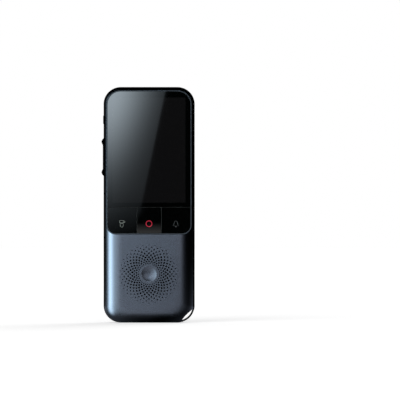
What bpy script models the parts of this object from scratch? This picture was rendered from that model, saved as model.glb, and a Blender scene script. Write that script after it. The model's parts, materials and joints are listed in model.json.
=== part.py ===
"""Handheld voice translator: two painted shells round a display, keys, a speaker and a battery.

Metres, +Z up. The device stands upright on its flat lower end with the display facing -Y.
The origin is the middle of the lower end, on the plane where the two shells meet (y = 0).
Behind that plane lie the rear cover, the battery and the camera; in front of it lie the
display, the keys and the loudspeaker. Every length below is written once, and what fits
in, on or round another piece takes its size and place from the same values.
"""

import math

import bmesh
import bpy
from mathutils import Matrix, Vector

# The whole body.
BODY_WIDTH = 0.0530
BODY_HEIGHT = 0.1370
BODY_DEPTH = 0.0140
CORNER_RADIUS = 0.0099
FLAT_CORNER_RADIUS = 0.0062
SIDE_SHOULDER = 0.0106
END_SHOULDER = 0.0067
SIDE_BAND = 0.0012
END_BAND = 0.0028
SHOULDER_POWER = 2.5
WALL = 0.0012
SEAM_GAP = 0.0001
SEAT_GAP = 0.00015
SLIDE_GAP = 0.0002
OVERRUN = 0.0010
MERGE = 0.000001

# How finely curves are divided.
CORNER_STEPS = 6
SHOULDER_STEPS = 6
ROUND_STEPS = 24
SMALL_ROUND_STEPS = 12
HOLE_STEPS = 4
BEVEL_ANGLE = math.radians(40.0)
SHARP_ANGLE = math.radians(35.0)

# The glossy panel on the front: its trim, frame, glass and display.
PANEL_SIDE_MARGIN = 0.00185
PANEL_TOP_MARGIN = 0.0021
PANEL_TOP_RADIUS = 0.0081
PANEL_BOTTOM_RADIUS = 0.0053
PANEL_STAND = 0.0003
PANEL_TRAY_WALL = 0.0010
PANEL_FLOOR = 0.0010
TRIM_WIDTH = 0.0005
TRIM_DEPTH = 0.0006
TRIM_RECESS = 0.00005
TRIM_EDGE = 0.00012
GLASS_THICKNESS = 0.0010
GLASS_EDGE = 0.0003
GLASS_SEAM_RADIUS = 0.0004
GASKET_THICKNESS = 0.0003
GASKET_WIDTH = 0.0010
LCD_SIDE_BORDER = 0.00345
LCD_TOP_BORDER = 0.0041
LCD_BOTTOM_BORDER = 0.0026
LCD_THICKNESS = 0.0014
LCD_CORNER = 0.0004
FRAME_LCD_GAP = 0.0003
FRAME_KEY_LEDGE = 0.0008
FRAME_KEY_STEP = 0.0001
FLEX_ROOM = 0.0010
FLEX_THICKNESS = 0.0002
FLEX_BEND = 0.0014
FLEX_STEPS = 4
FLEX_WIDTH = 0.0120
FLEX_RISE = 0.0050
CONNECTOR_WIDTH = 0.0136
CONNECTOR_HEIGHT = 0.0028
CONNECTOR_THICKNESS = 0.0010

# The three keys under the display.
KEY_ROW_HEIGHT = 0.0158
CENTRE_KEY_WIDTH = 0.0140
KEY_THICKNESS = 0.0009
KEY_RECESS = 0.0001
KEY_EDGE = 0.00018
KEY_TRAVEL = 0.0003
KEY_FREE_PLAY = 0.00005
KEY_STEM_RADIUS = 0.0016
KEY_CENTRE_RISE = 0.0062
RECORD_RING_RADIUS = 0.00186
RECORD_RING_WIDTH = 0.00048
RECORD_RING_DEPTH = 0.00035
RECORD_RING_STAND = 0.00003
INLAY_GAP = 0.00005
KEY_CORNER = 0.0003
MAT_THICKNESS = 0.0011
MAT_MARGIN = 0.0003
MAT_CORNER = 0.0006
DOME_RADIUS = 0.0020
DOME_TOP_RADIUS = 0.0011
DOME_HEIGHT = 0.0004
DOME_ROOM = 0.0005
DOME_HEADROOM = 0.00025
KEY_BOARD_THICKNESS = 0.0007
KEY_CONNECTOR_WIDTH = 0.0050
KEY_CONNECTOR_HEIGHT = 0.0010
KEY_CONNECTOR_DROP = 0.0028

# The loudspeaker behind the pierced rosette.
SPEAKER_WIDTH_SHARE = 0.34
SPEAKER_END_GAP = 0.0103
SPEAKER_PANEL_GAP = 0.0050
SPEAKER_FLANGE_WIDTH = 0.0014
SPEAKER_FLANGE_DEPTH = 0.0009
SPEAKER_SHEET = 0.0005
SPEAKER_BACK_GAP = 0.0009
MAGNET_SHARE = 0.5
MAGNET_SEAT_DEPTH = 0.0009
MAGNET_SEAT_WALL = 0.0012
MAGNET_THICKNESS = 0.0017
CONE_THICKNESS = 0.00025
CONE_SURROUND = 0.0020
CONE_DIP_SHARE = 0.58
CONE_CAP_RADIUS_SHARE = 0.27
CONE_CAP_RISE = 0.0006
CONE_CAP_SHARE = 0.75
MESH_THICKNESS = 0.0002
SPEAKER_GASKET_THICKNESS = 0.0004
CONTACT_WIDTH = 0.0016
CONTACT_LENGTH = 0.0036
CONTACT_PAD = 0.0010
CONTACT_THICKNESS = 0.0002
CONTACT_SPREAD_SHARE = 0.23
CONTACT_RISE_SHARE = 0.75
ROSETTE_HOLES = 30
ROSETTE_FIRST_SHARE = 0.344
ROSETTE_STEP_SHARE = 0.0656
ROSETTE_HOLE_RADIUS = 0.00042
ROSETTE_SIZE_SHARES = (0.80, 0.94, 0.99, 0.99, 1.00, 0.90, 0.84, 0.68, 0.64)
DISH_SHARE = 0.244
DISH_DEPTH = 0.0003
DISH_STEPS = 3

# The main board and what is soldered to it.
BOARD_THICKNESS = 0.0008
BOARD_STANDOFF = 0.0025
BOARD_EDGE_GAP = 0.0028
BOARD_LOW = 0.0086
BOARD_TOP_GAP = 0.0066
BOARD_CORNER = 0.0040
BOARD_TONGUE_MARGIN = 0.0126
BOARD_TONGUE_LOW = 0.0032
PROCESSOR_SHIELD_WIDTH = 0.0260
PROCESSOR_SHIELD_HEIGHT = 0.0170
PROCESSOR_SHIELD_THICKNESS = 0.0021
WIRELESS_SHIELD_WIDTH = 0.0140
WIRELESS_SHIELD_HEIGHT = 0.0120
WIRELESS_SHIELD_THICKNESS = 0.0018
WIRELESS_SHIELD_LOW = 0.0125
SHIELD_SCREW_GAP = 0.0010
SHIELD_EDGE = 0.0003
SHIELD_SPACING = 0.0026
MICROPHONE_WIDTH = 0.0036
MICROPHONE_HEIGHT = 0.0028
MICROPHONE_THICKNESS = 0.0011
MICROPHONE_HOLE_RADIUS = 0.0006
LOWER_MICROPHONE_GAP = 0.0010
UPPER_MICROPHONE_OFFSET = 0.0080
MICROPHONE_MARGIN = 0.0004

# Screws that hold the board to the front cover.
BOSS_RADIUS = 0.0021
BOSS_BORE_RADIUS = 0.00085
BOSS_EDGE = 0.0071
LOWER_BOSS_HEIGHT = 0.0122
UPPER_BOSS_DROP = 0.0110
SCREW_HEAD_RADIUS = 0.0014
SCREW_HEAD_HEIGHT = 0.0007
SCREW_SHANK_RADIUS = 0.0007
SCREW_LENGTH = 0.0030
SCREW_RECESS_RADIUS = 0.0007
SCREW_RECESS_DEPTH = 0.0003
SCREW_RECESS_SIDES = 6
BOARD_HOLE_RADIUS = 0.00095
BOSS_BORE_SPARE = 0.0003

# The charging socket in the lower end.
USB_WIDTH = 0.00894
USB_THICKNESS = 0.00326
USB_LENGTH = 0.0074
USB_WALL = 0.0003
USB_RECESS = 0.0003
USB_BACK = 0.0012
TONGUE_WIDTH = 0.0066
TONGUE_THICKNESS = 0.0007
TONGUE_LENGTH = 0.0044

# The battery.
BATTERY_SHIELD_GAP = 0.0048
BATTERY_SIDE_MARGIN = 0.0090
BATTERY_EDGE = 0.0006
BATTERY_PAD_THICKNESS = 0.0003
BATTERY_PAD_MARGIN = 0.0060
BATTERY_BOARD_MARGIN = 0.0055
BATTERY_BOARD_HEIGHT = 0.0022
BATTERY_BOARD_THICKNESS = 0.0014
PLUG_WIDTH = 0.0050
PLUG_HEIGHT = 0.0032
PLUG_THICKNESS = 0.0017
PLUG_INSET = 0.0015
PLUG_DROP = 0.0036
WIRE_RADIUS = 0.00035
WIRE_SPACING = 0.0014
WIRE_BEND_SHARES = (0.25, 0.75)
WIRE_SIDES = 2
ANTENNA_FLASH_GAP = 0.0062
ANTENNA_HEIGHT = 0.0110
ANTENNA_THICKNESS = 0.0002
ANTENNA_EDGE = 0.0006

# The camera window on the back.
WINDOW_LENGTH_SHARE = 0.581
WINDOW_WIDTH = 0.0110
WINDOW_DROP = 0.0143
WINDOW_THICKNESS = 0.0008
WINDOW_RECESS = 0.0001
WINDOW_EDGE = 0.0001
WINDOW_TRIM_WIDTH = 0.0004
WINDOW_TRIM_STAND = 0.00005
PLINTH_HEIGHT = 0.0009
PLINTH_RIM = 0.0003
PLINTH_SLOPE = 0.0007
PLINTH_CURVE_SHARES = ((0.0, 1.0), (0.55, 0.62), (0.88, 0.20), (1.0, 0.0))
CAMERA_WINDOW_END = 0.0066
CAMERA_SIDE = 0.0080
CAMERA_HEAD_GAP = 0.0003
CAMERA_BARREL_RADIUS = 0.0029
CAMERA_BARREL_RISE = 0.0005
CAMERA_RING_RADIUS = 0.0027
CAMERA_RING_WIDTH = 0.00035
CAMERA_RING_STAND = 0.00005
CAMERA_LENS_SINK = 0.0002
CAMERA_LENS_CROWN = 0.0004
CAMERA_LENS_STEPS = 3
FLASH_CAMERA_GAP = 0.0003
FLASH_RADIUS = 0.0020
FLASH_LED_SIDE = 0.0034
FLASH_LED_THICKNESS = 0.0012

# The keys on the left edge.
SIDE_KEY_DEPTH = 0.0032
SIDE_KEY_FLOOR_GAP = 0.0003
SIDE_KEY_WALL_GAP = 0.00035
SIDE_KEY_FLANGE = 0.0007
SIDE_KEY_FLANGE_REACH = 0.0006
SIDE_KEY_EDGE = 0.0003
SIDE_KEY_SPACING = 0.0080
ROCKER_LENGTH = 0.0223
ROCKER_SADDLE = 0.0005
ROCKER_PEAK = 0.0013
ROCKER_SWITCH_SHARE = 0.36
ROCKER_HALF_SHARES = ((0.0, 0.0), (0.66, 0.0), (0.73, 0.75), (0.79, 1.0), (0.86, 0.8), (1.0, -0.5))
POWER_KEY_DROP = 0.0190
POWER_KEY_LENGTH = 0.0051
POWER_KEY_STAND = 0.0003
SWITCH_LENGTH = 0.0036
SWITCH_WIDTH = 0.0024
SWITCH_HEIGHT = 0.0015
SWITCH_NUB_RADIUS = 0.0004
SWITCH_NUB_LENGTH = 0.0006
SWITCH_FREE_PLAY = 0.00035
PIVOT_RIB_WIDTH = 0.0012
PIVOT_RIB_LENGTH = 0.0014

# The eye for a wrist strap in the lower right corner.
EYE_START = math.radians(-16.5)
EYE_END = math.radians(-73.5)
EYE_SAG = 0.0003
EYE_BAR_THICKNESS = 0.0008
EYE_BAR_DEPTH = 0.0022
EYE_BAR_SKIN = 0.0003
EYE_BAR_EDGE = 0.0002
EYE_BAR_GRIP = 0.0012
EYE_WALL = 0.0010
EYE_END_WALL = 0.0019
EYE_STEPS = 8

# The tongues on the front cover that snap inside the rear cover.
TAB_LENGTH = 0.0040
TAB_REACH = 0.0015
TAB_SHELF = 0.0005
TAB_THICKNESS = 0.0008
TAB_BITE = 0.0003
TAB_HEIGHT_SHARES = ((1, 0.27), (1, 0.52), (1, 0.80), (-1, 0.22), (-1, 0.47))

# Planes that the pieces share, from the plane between the shells outwards.
HALF_DEPTH = BODY_DEPTH / 2
HALF_WIDTH = BODY_WIDTH / 2
INNER_WIDTH = HALF_WIDTH - WALL
INNER_FRONT = -(HALF_DEPTH - WALL)
INNER_BACK = HALF_DEPTH - WALL
PANEL_FACE = -(HALF_DEPTH + PANEL_STAND)
FLOOR_BACK = -(SIDE_KEY_DEPTH / 2 + SIDE_KEY_FLOOR_GAP)
FLOOR_FRONT = FLOOR_BACK - PANEL_FLOOR
BOARD_FRONT = FLOOR_BACK + BOARD_STANDOFF
BOARD_BACK = BOARD_FRONT + BOARD_THICKNESS
BOARD_HALF = INNER_WIDTH - BOARD_EDGE_GAP
BOARD_HIGH = BODY_HEIGHT - BOARD_TOP_GAP
BOARD_TONGUE_HALF = HALF_WIDTH - BOARD_TONGUE_MARGIN
BOARD_NOTCH_HALF = USB_WIDTH / 2 + SLIDE_GAP
LOWER_MICROPHONE_OFFSET = BOARD_NOTCH_HALF + LOWER_MICROPHONE_GAP + MICROPHONE_WIDTH / 2
BOSS_OFFSET = INNER_WIDTH - BOSS_EDGE
WIRELESS_SHIELD_LEFT = BOSS_OFFSET - SCREW_HEAD_RADIUS - SHIELD_SCREW_GAP
PANEL_HALF = HALF_WIDTH - PANEL_SIDE_MARGIN
SPEAKER_RADIUS = BODY_WIDTH * SPEAKER_WIDTH_SHARE
SPEAKER_HEIGHT = SPEAKER_END_GAP + SPEAKER_RADIUS
PANEL_LOW = SPEAKER_HEIGHT + SPEAKER_RADIUS + SPEAKER_PANEL_GAP
PANEL_HIGH = BODY_HEIGHT - PANEL_TOP_MARGIN
GLASS_LOW = PANEL_LOW + KEY_ROW_HEIGHT
GLASS_BACK = PANEL_FACE + GLASS_THICKNESS
KEYS_FACE = PANEL_FACE + KEY_RECESS
KEYS_HEIGHT = PANEL_LOW + KEY_CENTRE_RISE
KEY_ROW_HALF = PANEL_HALF - TRIM_WIDTH - SLIDE_GAP
KEY_WINDOW_HIGH = GLASS_LOW - FRAME_KEY_LEDGE
TRIM_FRONT = PANEL_FACE + TRIM_RECESS
TRIM_BACK = TRIM_FRONT + TRIM_DEPTH
FRAME_LEDGE = GLASS_BACK + SEAT_GAP + GASKET_THICKNESS + SEAT_GAP
FRAME_BACK = FLOOR_FRONT - SEAT_GAP
KEY_BOARD_FRONT = FRAME_BACK - KEY_BOARD_THICKNESS
MAT_BACK = KEY_BOARD_FRONT - SEAT_GAP
MAT_FRONT = MAT_BACK - MAT_THICKNESS
LCD_HALF = PANEL_HALF - LCD_SIDE_BORDER
LCD_LOW = GLASS_LOW + LCD_BOTTOM_BORDER
LCD_HIGH = PANEL_HIGH - LCD_TOP_BORDER
LCD_BACK = GLASS_BACK + SEAT_GAP + LCD_THICKNESS
WINDOW_HEIGHT = BODY_HEIGHT - WINDOW_DROP
WINDOW_LENGTH = BODY_WIDTH * WINDOW_LENGTH_SHARE
CAMERA_OFFSET = WINDOW_LENGTH / 2 - CAMERA_WINDOW_END
FLASH_OFFSET = CAMERA_OFFSET - CAMERA_SIDE / 2 - FLASH_CAMERA_GAP - FLASH_RADIUS
PLINTH_TOP = HALF_DEPTH + PLINTH_HEIGHT
WINDOW_FRONT = PLINTH_TOP - WINDOW_RECESS - WINDOW_THICKNESS
POWER_KEY_HEIGHT = BODY_HEIGHT - POWER_KEY_DROP
ROCKER_HEIGHT = POWER_KEY_HEIGHT - POWER_KEY_LENGTH / 2 - SIDE_KEY_SPACING - ROCKER_LENGTH / 2
ROCKER_SWITCH_OFFSET = ROCKER_LENGTH * ROCKER_SWITCH_SHARE
SIDE_KEY_FACE = -(INNER_WIDTH - SIDE_KEY_WALL_GAP)
SIDE_KEY_BACK = SIDE_KEY_FACE + SIDE_KEY_FLANGE
EYE_CENTRE = (HALF_WIDTH - CORNER_RADIUS, CORNER_RADIUS)
EYE_BAR_OUTER = CORNER_RADIUS - EYE_BAR_SKIN
EYE_BAR_INNER = EYE_BAR_OUTER - EYE_BAR_THICKNESS
EYE_LIP = EYE_BAR_INNER - SEAT_GAP
ROSETTE_FIRST_RADIUS = SPEAKER_RADIUS * ROSETTE_FIRST_SHARE
ROSETTE_STEP = SPEAKER_RADIUS * ROSETTE_STEP_SHARE
DISH_RADIUS = SPEAKER_RADIUS * DISH_SHARE
MAGNET_RADIUS = SPEAKER_RADIUS * MAGNET_SHARE
CONE_CAP_RADIUS = SPEAKER_RADIUS * CONE_CAP_RADIUS_SHARE
CONTACT_SPREAD = SPEAKER_RADIUS * CONTACT_SPREAD_SHARE
CONTACT_RISE = SPEAKER_RADIUS * CONTACT_RISE_SHARE
SPEAKER_FACE = -(INNER_FRONT + MESH_THICKNESS + SPEAKER_GASKET_THICKNESS + 3 * SEAT_GAP)
MAGNET_BACK = SPEAKER_BACK_GAP - BOARD_FRONT
MAGNET_FACE = MAGNET_BACK + MAGNET_THICKNESS
SHIELD_HIGH = WINDOW_HEIGHT - CAMERA_SIDE / 2 - SHIELD_SPACING
SHIELD_LOW = SHIELD_HIGH - PROCESSOR_SHIELD_HEIGHT
BATTERY_HIGH = SHIELD_LOW - SHIELD_SPACING
BATTERY_LOW = WIRELESS_SHIELD_LOW + WIRELESS_SHIELD_HEIGHT + BATTERY_BOARD_HEIGHT + BATTERY_SHIELD_GAP
BATTERY_WIDTH = 2 * (HALF_WIDTH - BATTERY_SIDE_MARGIN)
BATTERY_BOARD_WIDTH = BATTERY_WIDTH - 2 * BATTERY_BOARD_MARGIN
PLUG_OFFSET = BATTERY_BOARD_WIDTH / 2 - PLUG_INSET
BATTERY_FRONT = BOARD_BACK + SEAT_GAP
BATTERY_BACK = INNER_BACK - 2 * SEAT_GAP - BATTERY_PAD_THICKNESS

PARTS = "handheld translator"
CUTTERS = "cutters"

# Which way a flat outline or a turned profile faces: where its own x, y and z axes go.
TO_FRONT = Matrix(((1, 0, 0), (0, 0, -1), (0, 1, 0)))
TO_BACK = Matrix(((1, 0, 0), (0, 0, 1), (0, -1, 0)))
TO_LEFT = Matrix(((0, 0, -1), (0, 1, 0), (1, 0, 0)))
UPWARD = Matrix.Identity(3)
ACROSS = Matrix(((0, 0, 1), (1, 0, 0), (0, 1, 0)))

# Finishes: sRGB colour, roughness, metallic.
PAINT = ("Blue-grey metallic paint", "545A66", 0.32, 0.75)
BLACK_GLASS = ("Black backed glass", "07080A", 0.05, 0.0)
BLACK_MOULDING = ("Black moulded polycarbonate", "101114", 0.40, 0.0)
GLOSS_BLACK = ("Gloss black polycarbonate", "0A0B0D", 0.12, 0.0)
POLISHED_TRIM = ("Smoked polished trim", "6A6F76", 0.22, 0.9)
RED_LIGHT_GUIDE = ("Red light guide", "C81E3C", 0.30, 0.0)
SILICONE = ("Grey silicone rubber", "3A3C40", 0.75, 0.0)
FOAM = ("Black foam tape", "1B1B1C", 0.95, 0.0)
SOLDER_MASK = ("Green circuit board", "1D4A34", 0.45, 0.0)
BLACK_MASK = ("Black circuit board", "15181A", 0.45, 0.0)
POLYIMIDE = ("Amber flexible circuit", "9C5A1E", 0.35, 0.0)
TINNED_STEEL = ("Tinned steel", "A9ABAC", 0.30, 1.0)
STAINLESS = ("Stainless steel", "B4B6B8", 0.25, 1.0)
LCD_FACE = ("Display polariser", "0C0D10", 0.20, 0.0)
WHITE_MOULDING = ("White reflector moulding", "C9CBCB", 0.50, 0.0)
BATTERY_WRAP = ("Silver laminate pouch", "8E9196", 0.38, 0.8)
MAGNET = ("Nickel plated magnet", "8C8C88", 0.30, 1.0)
CONE_FILM = ("Black speaker film", "17181A", 0.55, 0.0)
WOVEN_MESH = ("Woven dust mesh", "202123", 0.85, 0.0)
CLEAR_LENS = ("Coated lens glass", "14182A", 0.04, 0.0)
DIFFUSER = ("Warm flash diffuser", "C9C3A4", 0.35, 0.0)
PHOSPHOR = ("Yellow phosphor", "D9C23A", 0.50, 0.0)
RED_WIRE = ("Red insulated wire", "A3161A", 0.45, 0.0)
BLACK_WIRE = ("Black insulated wire", "121212", 0.45, 0.0)


def linear(channel):
    """Turn one sRGB channel between 0 and 1 into a linear value."""
    if channel <= 0.04045:
        return channel / 12.92
    return ((channel + 0.055) / 1.055) ** 2.4


def finish(piece, look):
    """Give a piece its Principled BSDF material, made once for each finish."""
    name, colour, roughness, metallic = look
    material = bpy.data.materials.get(name)
    if material is None:
        material = bpy.data.materials.new(name)
        material.use_nodes = True
        shader = material.node_tree.nodes["Principled BSDF"]
        channels = [linear(int(colour[i:i + 2], 16) / 255) for i in (0, 2, 4)]
        shader.inputs["Base Color"].default_value = (*channels, 1.0)
        shader.inputs["Roughness"].default_value = roughness
        shader.inputs["Metallic"].default_value = metallic
    piece.data.materials.clear()
    piece.data.materials.append(material)


def collection(name):
    """Make a collection in the scene."""
    group = bpy.data.collections.new(name)
    bpy.context.scene.collection.children.link(group)
    return group


def as_object(name, mesh, place=(0.0, 0.0, 0.0), facing=UPWARD):
    """Wrap a mesh in an object at a place, turned to a facing."""
    piece = bpy.data.objects.new(name, mesh)
    piece.matrix_world = Matrix.Translation(Vector(place)) @ facing.to_4x4()
    return piece


def part(piece, look):
    """Put a finished piece among the parts."""
    finish(piece, look)
    bpy.data.collections[PARTS].objects.link(piece)
    return piece


def cutter(piece):
    """Put a guide piece among the cutters, out of the render."""
    piece.hide_render = True
    piece.display_type = "WIRE"
    bpy.data.collections[CUTTERS].objects.link(piece)
    return piece


def combine(piece, other, operation="DIFFERENCE"):
    """Cut, join or intersect a piece with another solid."""
    change = piece.modifiers.new(other.name, "BOOLEAN")
    change.operation = operation
    change.object = other
    change.solver = "EXACT"


def round_edges(piece, width, segments=1):
    """Bevel the sharp edges of a piece."""
    change = piece.modifiers.new("rounded edges", "BEVEL")
    change.width = width
    change.segments = segments
    change.limit_method = "ANGLE"
    change.angle_limit = BEVEL_ANGLE


def smooth(piece):
    """Shade a round piece smoothly, keeping its real edges sharp."""
    piece.data.shade_smooth()
    piece.data.set_sharp_from_angle(angle=SHARP_ANGLE)


def block(name, low, high, origin=(0.0, 0.0, 0.0)):
    """A box between two corners, held about an origin."""
    low, high, origin = Vector(low), Vector(high), Vector(origin)
    size = high - low
    shape = Matrix.Translation((low + high) / 2 - origin) @ Matrix.Diagonal((*size, 1.0))
    built = bmesh.new()
    bmesh.ops.create_cube(built, size=1.0, matrix=shape)
    mesh = bpy.data.meshes.new(name)
    built.to_mesh(mesh)
    built.free()
    return as_object(name, mesh, origin)


def round_bar(name, radius, low, high, place, facing=TO_FRONT, steps=ROUND_STEPS, top_radius=None):
    """A cylinder or cone between two heights along the way it faces."""
    built = bmesh.new()
    middle = Matrix.Translation((0.0, 0.0, (low + high) / 2))
    bmesh.ops.create_cone(
        built, cap_ends=True, segments=steps, radius1=radius,
        radius2=radius if top_radius is None else top_radius, depth=high - low, matrix=middle,
    )
    mesh = bpy.data.meshes.new(name)
    built.to_mesh(mesh)
    built.free()
    piece = as_object(name, mesh, place, facing)
    smooth(piece)
    return piece


def mesh_of(curve):
    """Turn a curve into a mesh of the same name."""
    drawn = as_object(curve.name + " path", curve)
    bpy.context.scene.collection.objects.link(drawn)
    graph = bpy.context.evaluated_depsgraph_get()
    mesh = bpy.data.meshes.new_from_object(drawn.evaluated_get(graph))
    bpy.data.objects.remove(drawn)
    mesh.name = curve.name
    return mesh


def extruded(name, outlines, low, high, place=(0.0, 0.0, 0.0), facing=TO_FRONT):
    """A filled flat outline, with any further outlines as holes, between two heights."""
    curve = bpy.data.curves.new(name, "CURVE")
    curve.dimensions = "2D"
    curve.fill_mode = "BOTH"
    curve.extrude = (high - low) / 2
    for outline in outlines:
        spline = curve.splines.new("POLY")
        spline.points.add(len(outline) - 1)
        for point, (across, along) in zip(spline.points, outline):
            point.co = (across, along, 0.0, 1.0)
        spline.use_cyclic_u = True
    mesh = mesh_of(curve)
    weld(mesh)
    mesh.transform(Matrix.Translation((0.0, 0.0, (low + high) / 2)))
    piece = as_object(name, mesh, place, facing)
    smooth(piece)
    return piece


def plate(name, outlines, front, back, place=(0.0, 0.0, 0.0)):
    """A flat piece seen from the front, between two depths behind its place."""
    return extruded(name, outlines, -back, -front, place, TO_FRONT)


def weld(mesh):
    """Join the loose caps of a mesh made from a curve and point its faces outwards."""
    built = bmesh.new()
    built.from_mesh(mesh)
    bmesh.ops.remove_doubles(built, verts=built.verts, dist=MERGE)
    bmesh.ops.recalc_face_normals(built, faces=built.faces)
    built.to_mesh(mesh)
    built.free()


def turned(name, profile, place, facing, steps=ROUND_STEPS, closed=False):
    """Turn a profile of (radius, height) points round its upright axis."""
    mesh = bpy.data.meshes.new(name)
    edges = [(i, i + 1) for i in range(len(profile) - 1)]
    if closed:
        edges.append((len(profile) - 1, 0))
    mesh.from_pydata([(radius, 0.0, height) for radius, height in profile], edges, [])
    piece = as_object(name, mesh, place, facing)
    screw = piece.modifiers.new("turned", "SCREW")
    screw.axis = "Z"
    screw.steps = steps
    screw.render_steps = steps
    screw.use_merge_vertices = True
    screw.merge_threshold = MERGE
    screw.use_smooth_shade = True
    return piece


def strip(name, path, width, thickness, place=(0.0, 0.0, 0.0)):
    """A ribbon that follows (depth, height) points and is as wide as given along X."""
    curve = bpy.data.curves.new(name, "CURVE")
    curve.dimensions = "2D"
    curve.extrude = width / 2
    spline = curve.splines.new("POLY")
    spline.points.add(len(path) - 1)
    for point, (depth, height) in zip(spline.points, path):
        point.co = (depth, height, 0.0, 1.0)
    piece = as_object(name, mesh_of(curve), place, ACROSS)
    wall = piece.modifiers.new("thickness", "SOLIDIFY")
    wall.thickness = thickness
    wall.offset = 0.0
    wall.use_even_offset = True
    return piece


def wire(name, path, radius):
    """An insulated wire along a list of points."""
    curve = bpy.data.curves.new(name, "CURVE")
    curve.dimensions = "3D"
    curve.bevel_depth = radius
    curve.bevel_resolution = WIRE_SIDES
    curve.use_fill_caps = True
    spline = curve.splines.new("POLY")
    spline.points.add(len(path) - 1)
    for point, where in zip(spline.points, path):
        point.co = (*where, 1.0)
    mesh = mesh_of(curve)
    weld(mesh)
    mesh.shade_smooth()
    return as_object(name, mesh)


def arc(centre, radius, start, end, steps):
    """Points along an arc, both ends included."""
    return [
        (
            centre[0] + radius * math.cos(start + (end - start) * i / steps),
            centre[1] + radius * math.sin(start + (end - start) * i / steps),
        )
        for i in range(steps + 1)
    ]


def rounded(left, right, low, high, radii, steps=CORNER_STEPS):
    """The outline of a rectangle whose corners have the radii given, from the lower right round."""
    lower_right, upper_right, upper_left, lower_left = radii
    quarter = math.pi / 2
    corners = (
        (right - lower_right, low + lower_right, lower_right),
        (right - upper_right, high - upper_right, upper_right),
        (left + upper_left, high - upper_left, upper_left),
        (left + lower_left, low + lower_left, lower_left),
    )
    points = []
    for turn, (across, along, radius) in enumerate(corners):
        start = (turn - 1) * quarter
        points += arc((across, along), radius, start, start + quarter, steps)
    return points


def circle(radius, middle=(0.0, 0.0), steps=ROUND_STEPS):
    """The outline of a circle."""
    return arc(middle, radius, 0.0, 2 * math.pi * (steps - 1) / steps, steps - 1)


def stadium(length, width, steps=CORNER_STEPS):
    """The outline of a slot with round ends, centred on its origin, long in x."""
    reach = (length - width) / 2
    half_turn = math.pi
    right = arc((reach, 0.0), width / 2, -half_turn / 2, half_turn / 2, 2 * steps)
    left = arc((-reach, 0.0), width / 2, half_turn / 2, 3 * half_turn / 2, 2 * steps)
    return right + left


def sector(centre, inner, outer, start, end, steps):
    """The outline of a bent bar between two radii and two angles."""
    return arc(centre, outer, start, end, steps) + arc(centre, inner, end, start, steps)


def shoulder(depth, half_depth, band, reach):
    """How far an edge draws in at a depth from the seam: none in its flat band, then a curve."""
    if depth <= band:
        return 0.0
    share = min((depth - band) / (half_depth - band), 1.0)
    return reach * (1.0 - (1.0 - share ** SHOULDER_POWER) ** (1.0 / SHOULDER_POWER))


def body_ring(depth, shrink, side):
    """One section of the body, shrunk by a wall, at a depth in front of or behind the seam."""
    half_depth = HALF_DEPTH - shrink
    side_inset = shoulder(depth, half_depth, SIDE_BAND, SIDE_SHOULDER - shrink)
    end_inset = shoulder(depth, half_depth, END_BAND, END_SHOULDER - shrink)
    share = side_inset / (SIDE_SHOULDER - shrink)
    radius = (CORNER_RADIUS - shrink) * (1.0 - share) + FLAT_CORNER_RADIUS * share
    half = HALF_WIDTH - shrink - side_inset
    low = shrink + end_inset
    outline = rounded(-half, half, low, BODY_HEIGHT - low, (radius,) * 4)
    return [(across, side * depth, along) for across, along in outline]


def body_depths(shrink):
    """The depths of the body's sections, closer together where the shoulders curve most."""
    half_depth = HALF_DEPTH - shrink
    depths = [SIDE_BAND, (SIDE_BAND + END_BAND) / 2]
    for step in range(SHOULDER_STEPS + 1):
        rise = math.sin(step / SHOULDER_STEPS * math.pi / 2) ** (2.0 / SHOULDER_POWER)
        depths.append(END_BAND + (half_depth - END_BAND) * rise)
    return depths


def body_solid(name, side, shrink, start):
    """Half of the body as one closed solid, in front of the seam (-1) or behind it (+1)."""
    rings = [body_ring(0.0, shrink, side)]
    rings[0] = [(across, start, along) for across, _, along in rings[0]]
    rings += [body_ring(depth, shrink, side) for depth in body_depths(shrink)]
    return loft(name, rings)


def loft(name, rings):
    """Skin a row of like-numbered rings and cap both ends."""
    built = bmesh.new()
    rows = [[built.verts.new(point) for point in ring] for ring in rings]
    for row, following in zip(rows, rows[1:]):
        for i in range(len(row)):
            j = (i + 1) % len(row)
            built.faces.new((row[i], row[j], following[j], following[i]))
    built.faces.new(rows[0])
    built.faces.new(rows[-1])
    bmesh.ops.recalc_face_normals(built, faces=built.faces)
    mesh = bpy.data.meshes.new(name)
    built.to_mesh(mesh)
    built.free()
    return as_object(name, mesh)


def panel_outline(grow):
    """The outline of the front panel, grown or shrunk all round."""
    half = PANEL_HALF + grow
    lower = PANEL_BOTTOM_RADIUS + grow
    upper = PANEL_TOP_RADIUS + grow
    return rounded(-half, half, PANEL_LOW - grow, PANEL_HIGH + grow, (lower, upper, upper, lower))


def boss_places():
    """Where the board's four screws go, across and up."""
    upper = BODY_HEIGHT - UPPER_BOSS_DROP
    return [(side * BOSS_OFFSET, height) for height in (LOWER_BOSS_HEIGHT, upper) for side in (-1, 1)]


def eye_outline(inset, turn):
    """The strap eye's outline: an arc outside the corner and a nearly straight edge inside it."""
    outline = arc(EYE_CENTRE, CORNER_RADIUS + OVERRUN, EYE_END - turn, EYE_START + turn, EYE_STEPS)
    middle = (EYE_START + EYE_END) / 2
    half = (EYE_START - EYE_END) / 2
    for step in range(EYE_STEPS + 1):
        share = 1.0 - 2.0 * step / EYE_STEPS
        reach = EYE_LIP * math.cos(half) / math.cos(half * share)
        radius = reach - EYE_SAG * (1.0 - share ** 2) - inset
        angle = middle + (half + turn) * share
        outline.append((EYE_CENTRE[0] + radius * math.cos(angle), EYE_CENTRE[1] + radius * math.sin(angle)))
    return outline


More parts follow.
